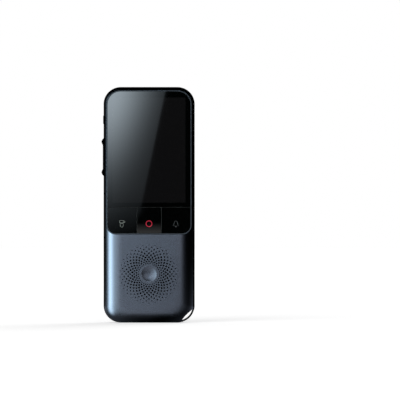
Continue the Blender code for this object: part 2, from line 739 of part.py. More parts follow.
def eye_cutters():
    """The strap eye's solids: the wall round it, the notch through it and the bar's sockets."""
    deep = HALF_DEPTH + OVERRUN
    grip_turn = (EYE_BAR_GRIP + SEAT_GAP) / EYE_BAR_INNER
    wall = eye_outline(EYE_WALL, EYE_END_WALL / EYE_BAR_INNER)
    notch = eye_outline(0.0, 0.0)
    socket = sector(
        EYE_CENTRE, EYE_BAR_INNER - SEAT_GAP, EYE_BAR_OUTER + SEAT_GAP,
        EYE_END - grip_turn, EYE_START + grip_turn, EYE_STEPS,
    )
    half = EYE_BAR_DEPTH / 2 + SEAT_GAP
    return (
        cutter(plate("strap eye wall", [wall], -deep, deep)),
        cutter(plate("strap eye notch", [notch], -deep, deep)),
        cutter(plate("strap bar socket", [socket], -half, half)),
    )


def side_openings():
    """The openings that both shells share half and half: side keys, charging port, microphones."""
    half = SIDE_KEY_DEPTH / 2 + SLIDE_GAP
    outside = -(HALF_WIDTH + OVERRUN)
    inside = -(INNER_WIDTH - OVERRUN)
    cuts = []
    for name, height, length in (
        ("rocker slot", ROCKER_HEIGHT, ROCKER_LENGTH),
        ("power key slot", POWER_KEY_HEIGHT, POWER_KEY_LENGTH),
    ):
        reach = length / 2 + SLIDE_GAP
        cuts.append(block(name, (outside, -half, height - reach), (inside, half, height + reach)))
    port = stadium(USB_WIDTH + 2 * SLIDE_GAP, USB_THICKNESS + 2 * SLIDE_GAP)
    cuts.append(extruded("charging port", [port], -OVERRUN, WALL + OVERRUN, facing=UPWARD))
    for name, across, low in (
        ("lower microphone hole", -LOWER_MICROPHONE_OFFSET, -OVERRUN),
        ("upper microphone hole", -UPPER_MICROPHONE_OFFSET, BODY_HEIGHT - WALL - OVERRUN),
    ):
        high = low + WALL + 2 * OVERRUN
        place = (across, 0.0, 0.0)
        cuts.append(round_bar(name, MICROPHONE_HOLE_RADIUS, low, high, place, UPWARD, SMALL_ROUND_STEPS))
    return [cutter(piece) for piece in cuts]


def rosette():
    """The dish and the rings of holes round it, each ring turned half a pitch, as one cutter."""
    built = bmesh.new()
    pitch = 2 * math.pi / ROSETTE_HOLES
    depth = WALL + 2 * OVERRUN
    for ring, share in enumerate(ROSETTE_SIZE_SHARES):
        distance = ROSETTE_FIRST_RADIUS + ring * ROSETTE_STEP
        radius = ROSETTE_HOLE_RADIUS * share
        for hole in range(ROSETTE_HOLES):
            angle = pitch * (hole + (ring % 2) / 2)
            place = Matrix.Translation((
                distance * math.cos(angle), distance * math.sin(angle), OVERRUN - depth / 2,
            ))
            bmesh.ops.create_cone(
                built, cap_ends=True, segments=HOLE_STEPS, radius1=radius, radius2=radius, depth=depth,
                matrix=place @ Matrix.Rotation(angle, 4, "Z"),
            )
    add_dish(built)
    mesh = bpy.data.meshes.new("rosette")
    built.to_mesh(mesh)
    built.free()
    return cutter(as_object("rosette", mesh, (0.0, -HALF_DEPTH, SPEAKER_HEIGHT), TO_FRONT))


def add_dish(built):
    """Add the shallow round hollow in the middle of the rosette: a bowl under a flat lid."""
    curve_radius = (DISH_RADIUS ** 2 + DISH_DEPTH ** 2) / (2 * DISH_DEPTH)
    heights = [OVERRUN]
    radii = [DISH_RADIUS]
    for step in range(DISH_STEPS):
        radii.append(DISH_RADIUS * (1.0 - step / DISH_STEPS))
        heights.append(curve_radius - DISH_DEPTH - math.sqrt(curve_radius ** 2 - radii[-1] ** 2))
    for low, high, lower, upper in zip(heights[1:], heights, radii[1:], radii):
        bmesh.ops.create_cone(
            built, cap_ends=False, segments=ROUND_STEPS, radius1=lower, radius2=upper, depth=high - low,
            matrix=Matrix.Translation((0.0, 0.0, (low + high) / 2)),
        )
    for height, radius in ((heights[0], radii[0]), (heights[-1], radii[-1])):
        middle = Matrix.Translation((0.0, 0.0, height))
        bmesh.ops.create_circle(built, cap_ends=True, segments=ROUND_STEPS, radius=radius, matrix=middle)
    bmesh.ops.remove_doubles(built, verts=built.verts, dist=MERGE)
    bmesh.ops.recalc_face_normals(built, faces=built.faces)


def front_cavity(eye_wall):
    """The hollow inside the front cover, less the panel's tray and the ribs that stand in it."""
    hollow = cutter(body_solid("front cavity", -1, WALL, OVERRUN))
    outline = panel_outline(SEAT_GAP + PANEL_TRAY_WALL)
    combine(hollow, cutter(plate("panel tray", [outline], -(HALF_DEPTH + OVERRUN), FLOOR_BACK)))
    rib = block(
        "rocker pivot rib",
        (SIDE_KEY_BACK + SEAT_GAP, FLOOR_BACK - PANEL_FLOOR / 2, ROCKER_HEIGHT - PIVOT_RIB_WIDTH / 2),
        (SIDE_KEY_BACK + SEAT_GAP + PIVOT_RIB_LENGTH, -SEAM_GAP, ROCKER_HEIGHT + PIVOT_RIB_WIDTH / 2),
    )
    combine(hollow, cutter(rib))
    combine(hollow, eye_wall)
    return hollow


def board_bosses(cover):
    """The four bosses that the board is screwed to, the upper pair on the panel's floor."""
    head = BOARD_FRONT - SEAT_GAP
    screw_tip = BOARD_BACK + SEAT_GAP - SCREW_LENGTH
    for number, (across, height) in enumerate(boss_places(), 1):
        place = (across, 0.0, height)
        foot = INNER_FRONT - WALL / 2
        if height > PANEL_LOW:
            foot = FLOOR_BACK - PANEL_FLOOR / 2
        boss = round_bar(f"board boss {number}", BOSS_RADIUS, -head, -foot, place, steps=SMALL_ROUND_STEPS)
        combine(cover, cutter(boss), "UNION")
        bore = round_bar(
            f"boss bore {number}", BOSS_BORE_RADIUS, -(head + OVERRUN), BOSS_BORE_SPARE - screw_tip,
            place, steps=SMALL_ROUND_STEPS,
        )
        combine(cover, cutter(bore))


def snap_tabs(cover):
    """Tongues on the front cover's rim that reach inside the rear cover."""
    outer = INNER_WIDTH - SEAT_GAP
    inner = outer - TAB_THICKNESS
    profile = [
        (INNER_WIDTH + TAB_BITE, -TAB_REACH),
        (INNER_WIDTH + TAB_BITE, -TAB_SHELF),
        (outer, -TAB_SHELF),
        (outer, TAB_REACH),
        (inner, TAB_REACH),
        (inner, -TAB_REACH),
    ]
    for number, (side, share) in enumerate(TAB_HEIGHT_SHARES, 1):
        outline = [(side * across, depth) for across, depth in profile]
        place = (0.0, 0.0, BODY_HEIGHT * share)
        tab = extruded(f"snap tab {number}", [outline], -TAB_LENGTH / 2, TAB_LENGTH / 2, place, UPWARD)
        combine(cover, cutter(tab), "UNION")


def floor_slots():
    """The slots in the panel's floor for the display's flexible circuit and the key connector."""
    front = FLOOR_FRONT - OVERRUN
    back = FLOOR_BACK + OVERRUN
    flex = FLEX_WIDTH / 2 + SLIDE_GAP
    keys = KEY_CONNECTOR_WIDTH / 2 + SLIDE_GAP
    middle = GLASS_LOW - KEY_CONNECTOR_DROP
    reach = KEY_CONNECTOR_HEIGHT / 2 + SLIDE_GAP
    flex_low = LCD_LOW - FLEX_ROOM
    return (
        cutter(block("display flex slot", (-flex, front, flex_low), (flex, back, LCD_LOW - SEAT_GAP))),
        cutter(block("key connector slot", (-keys, front, middle - reach), (keys, back, middle + reach))),
    )


def front_cover(eye, openings):
    """The painted front shell, with the panel's tray, screw bosses, rosette and strap eye."""
    eye_wall, eye_notch, eye_socket = eye
    cover = body_solid("front_cover", -1, 0.0, -SEAM_GAP / 2)
    smooth(cover)
    combine(cover, rosette())
    combine(cover, front_cavity(eye_wall))
    pocket = plate("panel pocket", [panel_outline(SEAT_GAP)], -(HALF_DEPTH + OVERRUN), FLOOR_FRONT)
    for cut in (cutter(pocket), *floor_slots(), *openings, eye_notch, eye_socket):
        combine(cover, cut)
    board_bosses(cover)
    snap_tabs(cover)
    return part(cover, PAINT)


def window_ring(grow, depth):
    """One oval section round the camera window, grown all round, at a depth behind the seam."""
    outline = stadium(WINDOW_LENGTH + 2 * grow, WINDOW_WIDTH + 2 * grow)
    return [(across, depth, WINDOW_HEIGHT + along) for across, along in outline]


def plinth():
    """The raised oval mount round the camera window, its sides curving down to the back."""
    rim = 2 * INLAY_GAP + WINDOW_TRIM_WIDTH + PLINTH_RIM
    rings = [window_ring(rim + PLINTH_SLOPE, HALF_DEPTH - WALL / 2)]
    for height, slope in PLINTH_CURVE_SHARES:
        rings.append(window_ring(rim + PLINTH_SLOPE * slope, HALF_DEPTH + PLINTH_HEIGHT * height))
    return cutter(loft("camera plinth", rings))


def window_cutters():
    """The oval recess for the camera window, and the camera and flash holes through its floor."""
    grow = WINDOW_TRIM_WIDTH + 2 * INLAY_GAP
    depths = (WINDOW_FRONT - SEAT_GAP, PLINTH_TOP + OVERRUN)
    recess = loft("window recess", [window_ring(grow, depth) for depth in depths])
    holes = []
    for name, across, radius in (
        ("camera hole", CAMERA_OFFSET, CAMERA_BARREL_RADIUS),
        ("flash hole", FLASH_OFFSET, FLASH_RADIUS),
    ):
        place = (across, 0.0, WINDOW_HEIGHT)
        low = INNER_BACK - OVERRUN
        holes.append(round_bar(name, radius + SEAT_GAP, low, WINDOW_FRONT, place, TO_BACK))
    return [cutter(piece) for piece in (recess, *holes)]


def rear_cover(eye, openings):
    """The painted rear shell, with the camera plinth and its half of the shared openings."""
    eye_wall, eye_notch, eye_socket = eye
    cover = body_solid("rear_cover", 1, 0.0, SEAM_GAP / 2)
    smooth(cover)
    combine(cover, plinth(), "UNION")
    hollow = cutter(body_solid("rear cavity", 1, WALL, -OVERRUN))
    combine(hollow, eye_wall)
    for opening in (*window_cutters(), hollow, *openings, eye_notch, eye_socket):
        combine(cover, opening)
    return part(cover, PAINT)


def strap_bar():
    """The bent bar that closes the strap eye, its ends held between the shells."""
    grip = EYE_BAR_GRIP / EYE_BAR_INNER
    outline = sector(
        EYE_CENTRE, EYE_BAR_INNER, EYE_BAR_OUTER, EYE_END - grip, EYE_START + grip, EYE_STEPS,
    )
    bar = plate("strap_bar", [outline], -EYE_BAR_DEPTH / 2, EYE_BAR_DEPTH / 2)
    round_edges(bar, EYE_BAR_EDGE)
    return part(bar, BLACK_MOULDING)


def panel_frame():
    """The black moulding that carries the glass, the display and the keys in the front cover."""
    rim_front = TRIM_BACK + INLAY_GAP
    lcd = LCD_HALF + FRAME_LCD_GAP
    lcd_corner = (LCD_CORNER,) * 4
    display = rounded(-lcd, lcd, LCD_LOW - FLEX_ROOM, LCD_HIGH + FRAME_LCD_GAP, lcd_corner)
    frame = plate("panel_frame", [panel_outline(0.0), display], rim_front, FRAME_BACK)
    inside = plate("frame recess", [panel_outline(-TRIM_WIDTH)], rim_front - OVERRUN, FRAME_LEDGE)
    combine(frame, cutter(inside))
    step = TRIM_WIDTH + FRAME_KEY_STEP
    half = PANEL_HALF - step
    lower = PANEL_BOTTOM_RADIUS - step
    keys = rounded(-half, half, PANEL_LOW + step, KEY_WINDOW_HIGH, (lower, MAT_CORNER, MAT_CORNER, lower))
    combine(frame, cutter(plate("frame key window", [keys], rim_front - OVERRUN, FRAME_BACK + OVERRUN)))
    return part(frame, BLACK_MOULDING)


def panel_trim():
    """The thin polished line round the whole panel."""
    outlines = [panel_outline(0.0), panel_outline(-TRIM_WIDTH)]
    trim = plate("panel_trim", outlines, TRIM_FRONT, TRIM_BACK)
    round_edges(trim, TRIM_EDGE)
    return part(trim, POLISHED_TRIM)


def glass_outline(shrink):
    """The outline of the cover glass, square along the seam with the keys."""
    inset = TRIM_WIDTH + INLAY_GAP + shrink
    half = PANEL_HALF - inset
    upper = PANEL_TOP_RADIUS - inset
    seam = (GLASS_SEAM_RADIUS, upper, upper, GLASS_SEAM_RADIUS)
    return rounded(-half, half, GLASS_LOW + shrink, PANEL_HIGH - inset, seam)


def display_stack():
    """The cover glass and what lies behind it: foam gasket, display and backlight."""
    glass = plate("cover_glass", [glass_outline(0.0)], PANEL_FACE, GLASS_BACK)
    round_edges(glass, GLASS_EDGE, 2)
    part(glass, BLACK_GLASS)
    gasket_front = GLASS_BACK + SEAT_GAP
    outlines = [glass_outline(SEAT_GAP), glass_outline(SEAT_GAP + GASKET_WIDTH)]
    part(plate("glass_gasket", outlines, gasket_front, gasket_front + GASKET_THICKNESS), FOAM)
    outline = rounded(-LCD_HALF, LCD_HALF, LCD_LOW, LCD_HIGH, (LCD_CORNER,) * 4, 2)
    part(plate("display_panel", [outline], GLASS_BACK + SEAT_GAP, LCD_BACK), LCD_FACE)
    part(plate("backlight", [outline], LCD_BACK + SEAT_GAP, FLOOR_FRONT - SEAT_GAP), WHITE_MOULDING)


def display_flex():
    """The flexible circuit from the display through the floor to its connector on the board."""
    middle = LCD_LOW - (FLEX_ROOM + SEAT_GAP) / 2
    back = BOARD_FRONT - SEAT_GAP - CONNECTOR_THICKNESS / 2
    path = [(GLASS_BACK + LCD_THICKNESS / 2, middle)]
    path += arc((back - FLEX_BEND, middle + FLEX_BEND), FLEX_BEND, -math.pi / 2, 0.0, FLEX_STEPS)
    path.append((back, LCD_LOW + FLEX_RISE - SEAT_GAP))
    part(strip("display_flex", path, FLEX_WIDTH, FLEX_THICKNESS), POLYIMIDE)
    low = LCD_LOW + FLEX_RISE
    front = BOARD_FRONT - SEAT_GAP - CONNECTOR_THICKNESS
    socket = block(
        "display_connector", (-CONNECTOR_WIDTH / 2, front, low),
        (CONNECTOR_WIDTH / 2, front + CONNECTOR_THICKNESS, low + CONNECTOR_HEIGHT),
    )
    part(socket, WHITE_MOULDING)


def key_cap(name, left, right, radii):
    """One key cap with the stem that presses its dome; its origin is the middle of its face."""
    middle = (left + right) / 2
    place = (middle, KEYS_FACE, KEYS_HEIGHT)
    low = PANEL_LOW + TRIM_WIDTH + SLIDE_GAP - KEYS_HEIGHT
    high = GLASS_LOW - SLIDE_GAP - KEYS_HEIGHT
    outline = rounded(left - middle, right - middle, low, high, radii)
    cap = plate(name, [outline], 0.0, KEY_THICKNESS, place)
    round_edges(cap, KEY_EDGE)
    stem_end = MAT_FRONT - KEY_TRAVEL - KEY_FREE_PLAY - KEYS_FACE
    stem = round_bar(
        name + " stem", KEY_STEM_RADIUS, -stem_end, -KEY_THICKNESS / 2, place, steps=SMALL_ROUND_STEPS,
    )
    combine(cap, cutter(stem), "UNION")
    return cap


def ring_profile(outer, inner, top, bottom):
    """The profile of a flat ring, ready to turn."""
    return [(outer, top), (outer, bottom), (inner, bottom), (inner, top)]


def key_row():
    """The left, centre and right keys, and the red ring let into the centre key."""
    corner = PANEL_BOTTOM_RADIUS - TRIM_WIDTH - SLIDE_GAP
    seam = CENTRE_KEY_WIDTH / 2
    inner_corners = (KEY_CORNER,) * 3
    left = key_cap("key_left", -KEY_ROW_HALF, -(seam + SLIDE_GAP), (*inner_corners, corner))
    centre = key_cap("key_centre", -seam, seam, (*inner_corners, KEY_CORNER))
    right = key_cap("key_right", seam + SLIDE_GAP, KEY_ROW_HALF, (corner, *inner_corners))
    place = (0.0, KEYS_FACE, KEYS_HEIGHT)
    outer = RECORD_RING_RADIUS
    inner = outer - RECORD_RING_WIDTH
    groove = ring_profile(outer + INLAY_GAP, inner - INLAY_GAP, OVERRUN, -(RECORD_RING_DEPTH + INLAY_GAP))
    combine(centre, cutter(turned("record ring groove", groove, place, TO_FRONT, closed=True)))
    profile = ring_profile(outer, inner, RECORD_RING_STAND, -RECORD_RING_DEPTH)
    ring = turned("record_ring", profile, place, TO_FRONT, closed=True)
    for cap in (left, centre, right):
        part(cap, GLOSS_BLACK)
    part(ring, RED_LIGHT_GUIDE)


def key_middles():
    """The places of the three keys across the row, by name."""
    side = (CENTRE_KEY_WIDTH / 2 + SLIDE_GAP + KEY_ROW_HALF) / 2
    return {"left": -side, "centre": 0.0, "right": side}


def key_mat():
    """The silicone mat behind the keys, hollowed over each dome, on the small key board."""
    step = TRIM_WIDTH + FRAME_KEY_STEP + MAT_MARGIN
    half = PANEL_HALF - step
    low = PANEL_LOW + step
    high = KEY_WINDOW_HIGH - MAT_MARGIN
    lower = PANEL_BOTTOM_RADIUS - step
    outline = rounded(-half, half, low, high, (lower, MAT_CORNER, MAT_CORNER, lower))
    mat = plate("key_mat", [outline], MAT_FRONT, MAT_BACK)
    dome_base = KEY_BOARD_FRONT - INLAY_GAP
    for name, across in key_middles().items():
        place = (across, 0.0, KEYS_HEIGHT)
        dome = round_bar(
            "key_dome_" + name, DOME_RADIUS, -dome_base, DOME_HEIGHT - dome_base, place,
            steps=SMALL_ROUND_STEPS, top_radius=DOME_TOP_RADIUS,
        )
        part(dome, STAINLESS)
        room = round_bar(
            f"dome room {name}", DOME_RADIUS + DOME_ROOM, -(MAT_BACK + OVERRUN),
            DOME_HEIGHT + DOME_HEADROOM - dome_base, place, steps=SMALL_ROUND_STEPS,
        )
        combine(mat, cutter(room))
    part(mat, SILICONE)
    part(plate("key_board", [outline], KEY_BOARD_FRONT, FRAME_BACK), BLACK_MASK)
    middle = GLASS_LOW - KEY_CONNECTOR_DROP
    connector = block(
        "key_connector",
        (-KEY_CONNECTOR_WIDTH / 2, FRAME_BACK + SEAT_GAP, middle - KEY_CONNECTOR_HEIGHT / 2),
        (KEY_CONNECTOR_WIDTH / 2, BOARD_FRONT - SEAT_GAP, middle + KEY_CONNECTOR_HEIGHT / 2),
    )
    part(connector, WHITE_MOULDING)


def basket_back(radius):
    """How far forward the back of the speaker's basket is at a radius on its slope."""
    rim = SPEAKER_FACE - SPEAKER_FLANGE_DEPTH
    neck = MAGNET_FACE + 2 * SEAT_GAP
    neck_radius = MAGNET_RADIUS + SEAT_GAP + MAGNET_SEAT_WALL
    return neck + (radius - neck_radius) * (rim - neck) / (SPEAKER_RADIUS - neck_radius)


def speaker_front(place, inner):
    """The dust mesh and the foam gasket between the loudspeaker and the rosette."""
    front = INNER_FRONT + SEAT_GAP
    mesh = plate("speaker_mesh", [circle(SPEAKER_RADIUS)], front, front + MESH_THICKNESS, place)
    part(mesh, WOVEN_MESH)
    front += MESH_THICKNESS + SEAT_GAP
    outlines = [circle(SPEAKER_RADIUS), circle(inner)]
    gasket = plate("speaker_gasket", outlines, front, front + SPEAKER_GASKET_THICKNESS, place)
    part(gasket, FOAM)


def speaker_basket(place, inner):
    """The loudspeaker's basket: a flanged cone with a seat for the magnet at its back."""
    seat = MAGNET_RADIUS + SEAT_GAP
    rim = SPEAKER_FACE - SPEAKER_FLANGE_DEPTH
    neck = MAGNET_FACE + 2 * SEAT_GAP
    foot = MAGNET_FACE - MAGNET_SEAT_DEPTH
    profile = [
        (SPEAKER_RADIUS, SPEAKER_FACE),
        (SPEAKER_RADIUS, rim),
        (seat + MAGNET_SEAT_WALL, neck),
        (seat + MAGNET_SEAT_WALL, foot),
        (seat, foot),
        (seat, neck + SPEAKER_SHEET),
        (inner, basket_back(inner) + SPEAKER_SHEET),
        (inner, SPEAKER_FACE),
    ]
    part(turned("speaker_basket", profile, place, TO_FRONT, closed=True), BLACK_MOULDING)


def speaker_cone(place, edge):
    """The thin cone with its surround and the cap in its middle."""
    top = SPEAKER_FACE - INLAY_GAP
    room = top - MAGNET_FACE - 2 * SEAT_GAP - SPEAKER_SHEET
    low = top - room * CONE_DIP_SHARE
    shape = [
        (0.0, low + CONE_CAP_RISE),
        (CONE_CAP_RADIUS / 2, low + CONE_CAP_RISE * CONE_CAP_SHARE),
        (CONE_CAP_RADIUS, low),
        (edge - CONE_SURROUND, top),
        (edge, top),
    ]
    under = [(radius, height - CONE_THICKNESS) for radius, height in reversed(shape)]
    part(turned("speaker_cone", shape + under, place, TO_FRONT), CONE_FILM)


def speaker_contacts():
    """Two bent spring strips between the loudspeaker and the board."""
    reach = math.hypot(CONTACT_SPREAD, CONTACT_RISE - CONTACT_LENGTH / 2)
    front = -(basket_back(reach) - 2 * SEAT_GAP)
    back = BOARD_FRONT - SEAT_GAP - CONTACT_THICKNESS
    half = CONTACT_LENGTH / 2
    path = [(back, -half), (back, half), (front, CONTACT_PAD - half), (front, -half)]
    for number, side in enumerate((-1, 1), 1):
        place = (side * CONTACT_SPREAD, 0.0, SPEAKER_HEIGHT + CONTACT_RISE)
        part(strip(f"speaker_contact_{number}", path, CONTACT_WIDTH, CONTACT_THICKNESS, place), STAINLESS)


def speaker():
    """The loudspeaker behind the rosette, from its dust mesh to its spring contacts."""
    place = (0.0, 0.0, SPEAKER_HEIGHT)
    inner = SPEAKER_RADIUS - SPEAKER_FLANGE_WIDTH
    speaker_front(place, inner)
    speaker_basket(place, inner)
    speaker_cone(place, inner - SEAT_GAP)
    magnet = round_bar("speaker_magnet", MAGNET_RADIUS, MAGNET_BACK, MAGNET_FACE, place)
    part(magnet, MAGNET)
    speaker_contacts()


def main_board():
    """The circuit board: a rounded plate with a tongue that straddles the charging socket."""
    tongue = BOARD_TONGUE_HALF
    notch = BOARD_NOTCH_HALF
    notch_high = USB_RECESS + USB_LENGTH + SLIDE_GAP
    left = [
        (-tongue, BOARD_LOW),
        (-tongue, BOARD_TONGUE_LOW),
        (-notch, BOARD_TONGUE_LOW),
        (-notch, notch_high),
    ]
    outline = left + [(-across, along) for across, along in reversed(left)]
    outline += rounded(-BOARD_HALF, BOARD_HALF, BOARD_LOW, BOARD_HIGH, (BOARD_CORNER,) * 4)
    holes = [circle(BOARD_HOLE_RADIUS, middle, SMALL_ROUND_STEPS) for middle in boss_places()]
    part(plate("main_board", [outline, *holes], BOARD_FRONT, BOARD_BACK), SOLDER_MASK)


def board_block(name, left, low, width, height, thickness, look, edge=0.0):
    """A component soldered to the back of the board."""
    front = BOARD_BACK + SEAT_GAP
    piece = block(name, (left, front, low), (left + width, front + thickness, low + height))
    if edge:
        round_edges(piece, edge)
    return part(piece, look)


def board_parts():
    """The shielding cans and the microphones on the board."""
    board_block(
        "processor_shield", -PROCESSOR_SHIELD_WIDTH / 2, SHIELD_LOW, PROCESSOR_SHIELD_WIDTH,
        PROCESSOR_SHIELD_HEIGHT, PROCESSOR_SHIELD_THICKNESS, TINNED_STEEL, SHIELD_EDGE,
    )
    board_block(
        "wireless_shield", -WIRELESS_SHIELD_LEFT, WIRELESS_SHIELD_LOW, WIRELESS_SHIELD_WIDTH,
        WIRELESS_SHIELD_HEIGHT, WIRELESS_SHIELD_THICKNESS, TINNED_STEEL, SHIELD_EDGE,
    )
    upper = BOARD_HIGH - MICROPHONE_MARGIN - MICROPHONE_HEIGHT
    for name, across, low in (
        ("lower_microphone", -LOWER_MICROPHONE_OFFSET, BOARD_TONGUE_LOW + MICROPHONE_MARGIN),
        ("upper_microphone", -UPPER_MICROPHONE_OFFSET, upper),
    ):
        board_block(
            name, across - MICROPHONE_WIDTH / 2, low, MICROPHONE_WIDTH, MICROPHONE_HEIGHT,
            MICROPHONE_THICKNESS, TINNED_STEEL,
        )


def board_screws():
    """The four screws that hold the board to the front cover's bosses."""
    head = BOARD_BACK + SEAT_GAP
    for number, (across, height) in enumerate(boss_places(), 1):
        profile = [
            (0.0, SCREW_HEAD_HEIGHT), (SCREW_HEAD_RADIUS, SCREW_HEAD_HEIGHT), (SCREW_HEAD_RADIUS, 0.0),
            (SCREW_SHANK_RADIUS, 0.0), (SCREW_SHANK_RADIUS, -SCREW_LENGTH), (0.0, -SCREW_LENGTH),
        ]
        place = (across, head, height)
        screw = turned(f"board_screw_{number}", profile, place, TO_BACK, SMALL_ROUND_STEPS)
        recess = round_bar(
            f"screw recess {number}", SCREW_RECESS_RADIUS, SCREW_HEAD_HEIGHT - SCREW_RECESS_DEPTH,
            SCREW_HEAD_HEIGHT + OVERRUN, place, TO_BACK, SCREW_RECESS_SIDES,
        )
        combine(screw, cutter(recess))
        part(screw, STAINLESS)


def charging_socket():
    """The charging socket: a steel shell open at its mouth and the tongue inside it."""
    low = USB_RECESS
    high = USB_RECESS + USB_LENGTH
    shell = extruded("usb_shell", [stadium(USB_WIDTH, USB_THICKNESS)], low, high, facing=UPWARD)
    bore = stadium(USB_WIDTH - 2 * USB_WALL, USB_THICKNESS - 2 * USB_WALL)
    back = high - USB_WALL
    combine(shell, cutter(extruded("charging socket bore", [bore], low - OVERRUN, back, facing=UPWARD)))
    part(shell, STAINLESS)
    half = TONGUE_WIDTH / 2
    seat = back - SEAT_GAP
    thick = TONGUE_THICKNESS / 2
    tongue_low = seat - USB_BACK - TONGUE_LENGTH
    tongue = block("usb_tongue", (-half, -thick, tongue_low), (half, thick, seat))
    fill = USB_THICKNESS / 2 - USB_WALL - SEAT_GAP
    base = block("tongue base", (-half, -fill, seat - USB_BACK), (half, fill, seat - INLAY_GAP))
    combine(tongue, cutter(base), "UNION")
    part(tongue, BLACK_MOULDING)


def battery():
    """The battery pouch, its foam pad, its protection board, and the two wires to its plug."""
    half = BATTERY_WIDTH / 2
    pouch = block("battery", (-half, BATTERY_FRONT, BATTERY_LOW), (half, BATTERY_BACK, BATTERY_HIGH))
    round_edges(pouch, BATTERY_EDGE, 2)
    part(pouch, BATTERY_WRAP)
    pad_front = BATTERY_BACK + SEAT_GAP
    pad = block(
        "battery_pad",
        (BATTERY_PAD_MARGIN - half, pad_front, BATTERY_LOW + BATTERY_PAD_MARGIN),
        (half - BATTERY_PAD_MARGIN, pad_front + BATTERY_PAD_THICKNESS, BATTERY_HIGH - BATTERY_PAD_MARGIN),
    )
    part(pad, FOAM)
    strip_high = BATTERY_LOW - SEAT_GAP
    strip_low = strip_high - BATTERY_BOARD_HEIGHT
    board_block(
        "battery_board", -BATTERY_BOARD_WIDTH / 2, strip_low, BATTERY_BOARD_WIDTH, BATTERY_BOARD_HEIGHT,
        BATTERY_BOARD_THICKNESS, BLACK_MASK,
    )
    plug_high = strip_low - PLUG_DROP
    board_block(
        "battery_plug", PLUG_OFFSET - PLUG_WIDTH / 2, plug_high - PLUG_HEIGHT, PLUG_WIDTH, PLUG_HEIGHT,
        PLUG_THICKNESS, WHITE_MOULDING,
    )
    start_depth = BOARD_BACK + SEAT_GAP + BATTERY_BOARD_THICKNESS / 2
    end_depth = BOARD_BACK + SEAT_GAP + PLUG_THICKNESS / 2
    drop = PLUG_DROP - 2 * SEAT_GAP
    first_bend, last_bend = WIRE_BEND_SHARES
    for name, side, look in (("battery_wire_red", 1, RED_WIRE), ("battery_wire_black", -1, BLACK_WIRE)):
        across = PLUG_OFFSET + side * WIRE_SPACING / 2
        top = strip_low - SEAT_GAP
        path = [
            (across, start_depth, top),
            (across, start_depth, top - drop * first_bend),
            (across, end_depth, top - drop * last_bend),
            (across, end_depth, top - drop),
        ]
        part(wire(name, path, WIRE_RADIUS), look)


def antenna():
    """The flexible antenna stuck inside the top of the rear cover."""
    left = -(HALF_WIDTH - SIDE_SHOULDER)
    right = FLASH_OFFSET - FLASH_RADIUS - ANTENNA_FLASH_GAP
    low = WINDOW_HEIGHT - ANTENNA_HEIGHT / 2
    outline = rounded(left, right, low, low + ANTENNA_HEIGHT, (ANTENNA_EDGE,) * 4, 2)
    back = INNER_BACK - SEAT_GAP
    part(plate("antenna", [outline], back - ANTENNA_THICKNESS, back), POLYIMIDE)


def camera_module(place, barrel_top):
    """The camera: a square housing on the board with a round barrel on it."""
    half = CAMERA_SIDE / 2
    head = INNER_BACK - CAMERA_HEAD_GAP
    body = block("camera_module", (-half, BOARD_BACK + SEAT_GAP, -half), (half, head, half))
    body.location = place
    middle = (BOARD_BACK + head) / 2
    barrel = round_bar("camera barrel", CAMERA_BARREL_RADIUS, middle, barrel_top, place, TO_BACK)
    combine(body, cutter(barrel), "UNION")
    part(body, BLACK_MOULDING)


def camera_lens(place, radius, low, top):
    """The lens with its crowned outer face."""
    profile = []
    for step in range(CAMERA_LENS_STEPS + 1):
        turn = step / CAMERA_LENS_STEPS * math.pi / 2
        profile.append((radius * math.sin(turn), top - CAMERA_LENS_CROWN * (1.0 - math.cos(turn))))
    profile[0] = (0.0, top)
    profile += [(radius, low), (0.0, low)]
    part(turned("camera_lens", profile, place, TO_BACK), CLEAR_LENS)


def flash(face):
    """The flash: its yellow light source on the board and the diffuser over it."""
    half = FLASH_LED_SIDE / 2
    board_block(
        "flash_led", FLASH_OFFSET - half, WINDOW_HEIGHT - half, FLASH_LED_SIDE, FLASH_LED_SIDE,
        FLASH_LED_THICKNESS, PHOSPHOR,
    )
    low = BOARD_BACK + 2 * SEAT_GAP + FLASH_LED_THICKNESS
    place = (FLASH_OFFSET, 0.0, WINDOW_HEIGHT)
    diffuser = round_bar("flash_lens", FLASH_RADIUS, low, face, place, TO_BACK)
    part(diffuser, DIFFUSER)


def camera_window(face):
    """The oval glass on the back, with holes for the camera ring and the flash, and its trim."""
    centre = (0.0, 0.0, WINDOW_HEIGHT)
    outlines = [
        stadium(WINDOW_LENGTH, WINDOW_WIDTH),
        circle(CAMERA_RING_RADIUS + INLAY_GAP, (CAMERA_OFFSET, 0.0)),
        circle(FLASH_RADIUS + INLAY_GAP, (FLASH_OFFSET, 0.0)),
    ]
    window = plate("camera_window", outlines, WINDOW_FRONT, face, centre)
    round_edges(window, WINDOW_EDGE)
    part(window, BLACK_GLASS)
    inner = 2 * INLAY_GAP
    outer = 2 * (INLAY_GAP + WINDOW_TRIM_WIDTH)
    outlines = [stadium(WINDOW_LENGTH + grow, WINDOW_WIDTH + grow) for grow in (outer, inner)]
    trim = plate("window_trim", outlines, WINDOW_FRONT, PLINTH_TOP + WINDOW_TRIM_STAND, centre)
    part(trim, STAINLESS)


def camera():
    """The camera, its ring and lens, the flash, and the window over them."""
    place = (CAMERA_OFFSET, 0.0, WINDOW_HEIGHT)
    face = PLINTH_TOP - WINDOW_RECESS
    barrel_top = INNER_BACK + CAMERA_BARREL_RISE
    camera_module(place, barrel_top)
    inner = CAMERA_RING_RADIUS - CAMERA_RING_WIDTH
    ring = ring_profile(CAMERA_RING_RADIUS, inner, face + CAMERA_RING_STAND, WINDOW_FRONT)
    part(turned("camera_ring", ring, place, TO_BACK, closed=True), STAINLESS)
    camera_lens(place, inner - INLAY_GAP, barrel_top + SEAT_GAP, face - CAMERA_LENS_SINK)
    flash(face)
    camera_window(face)


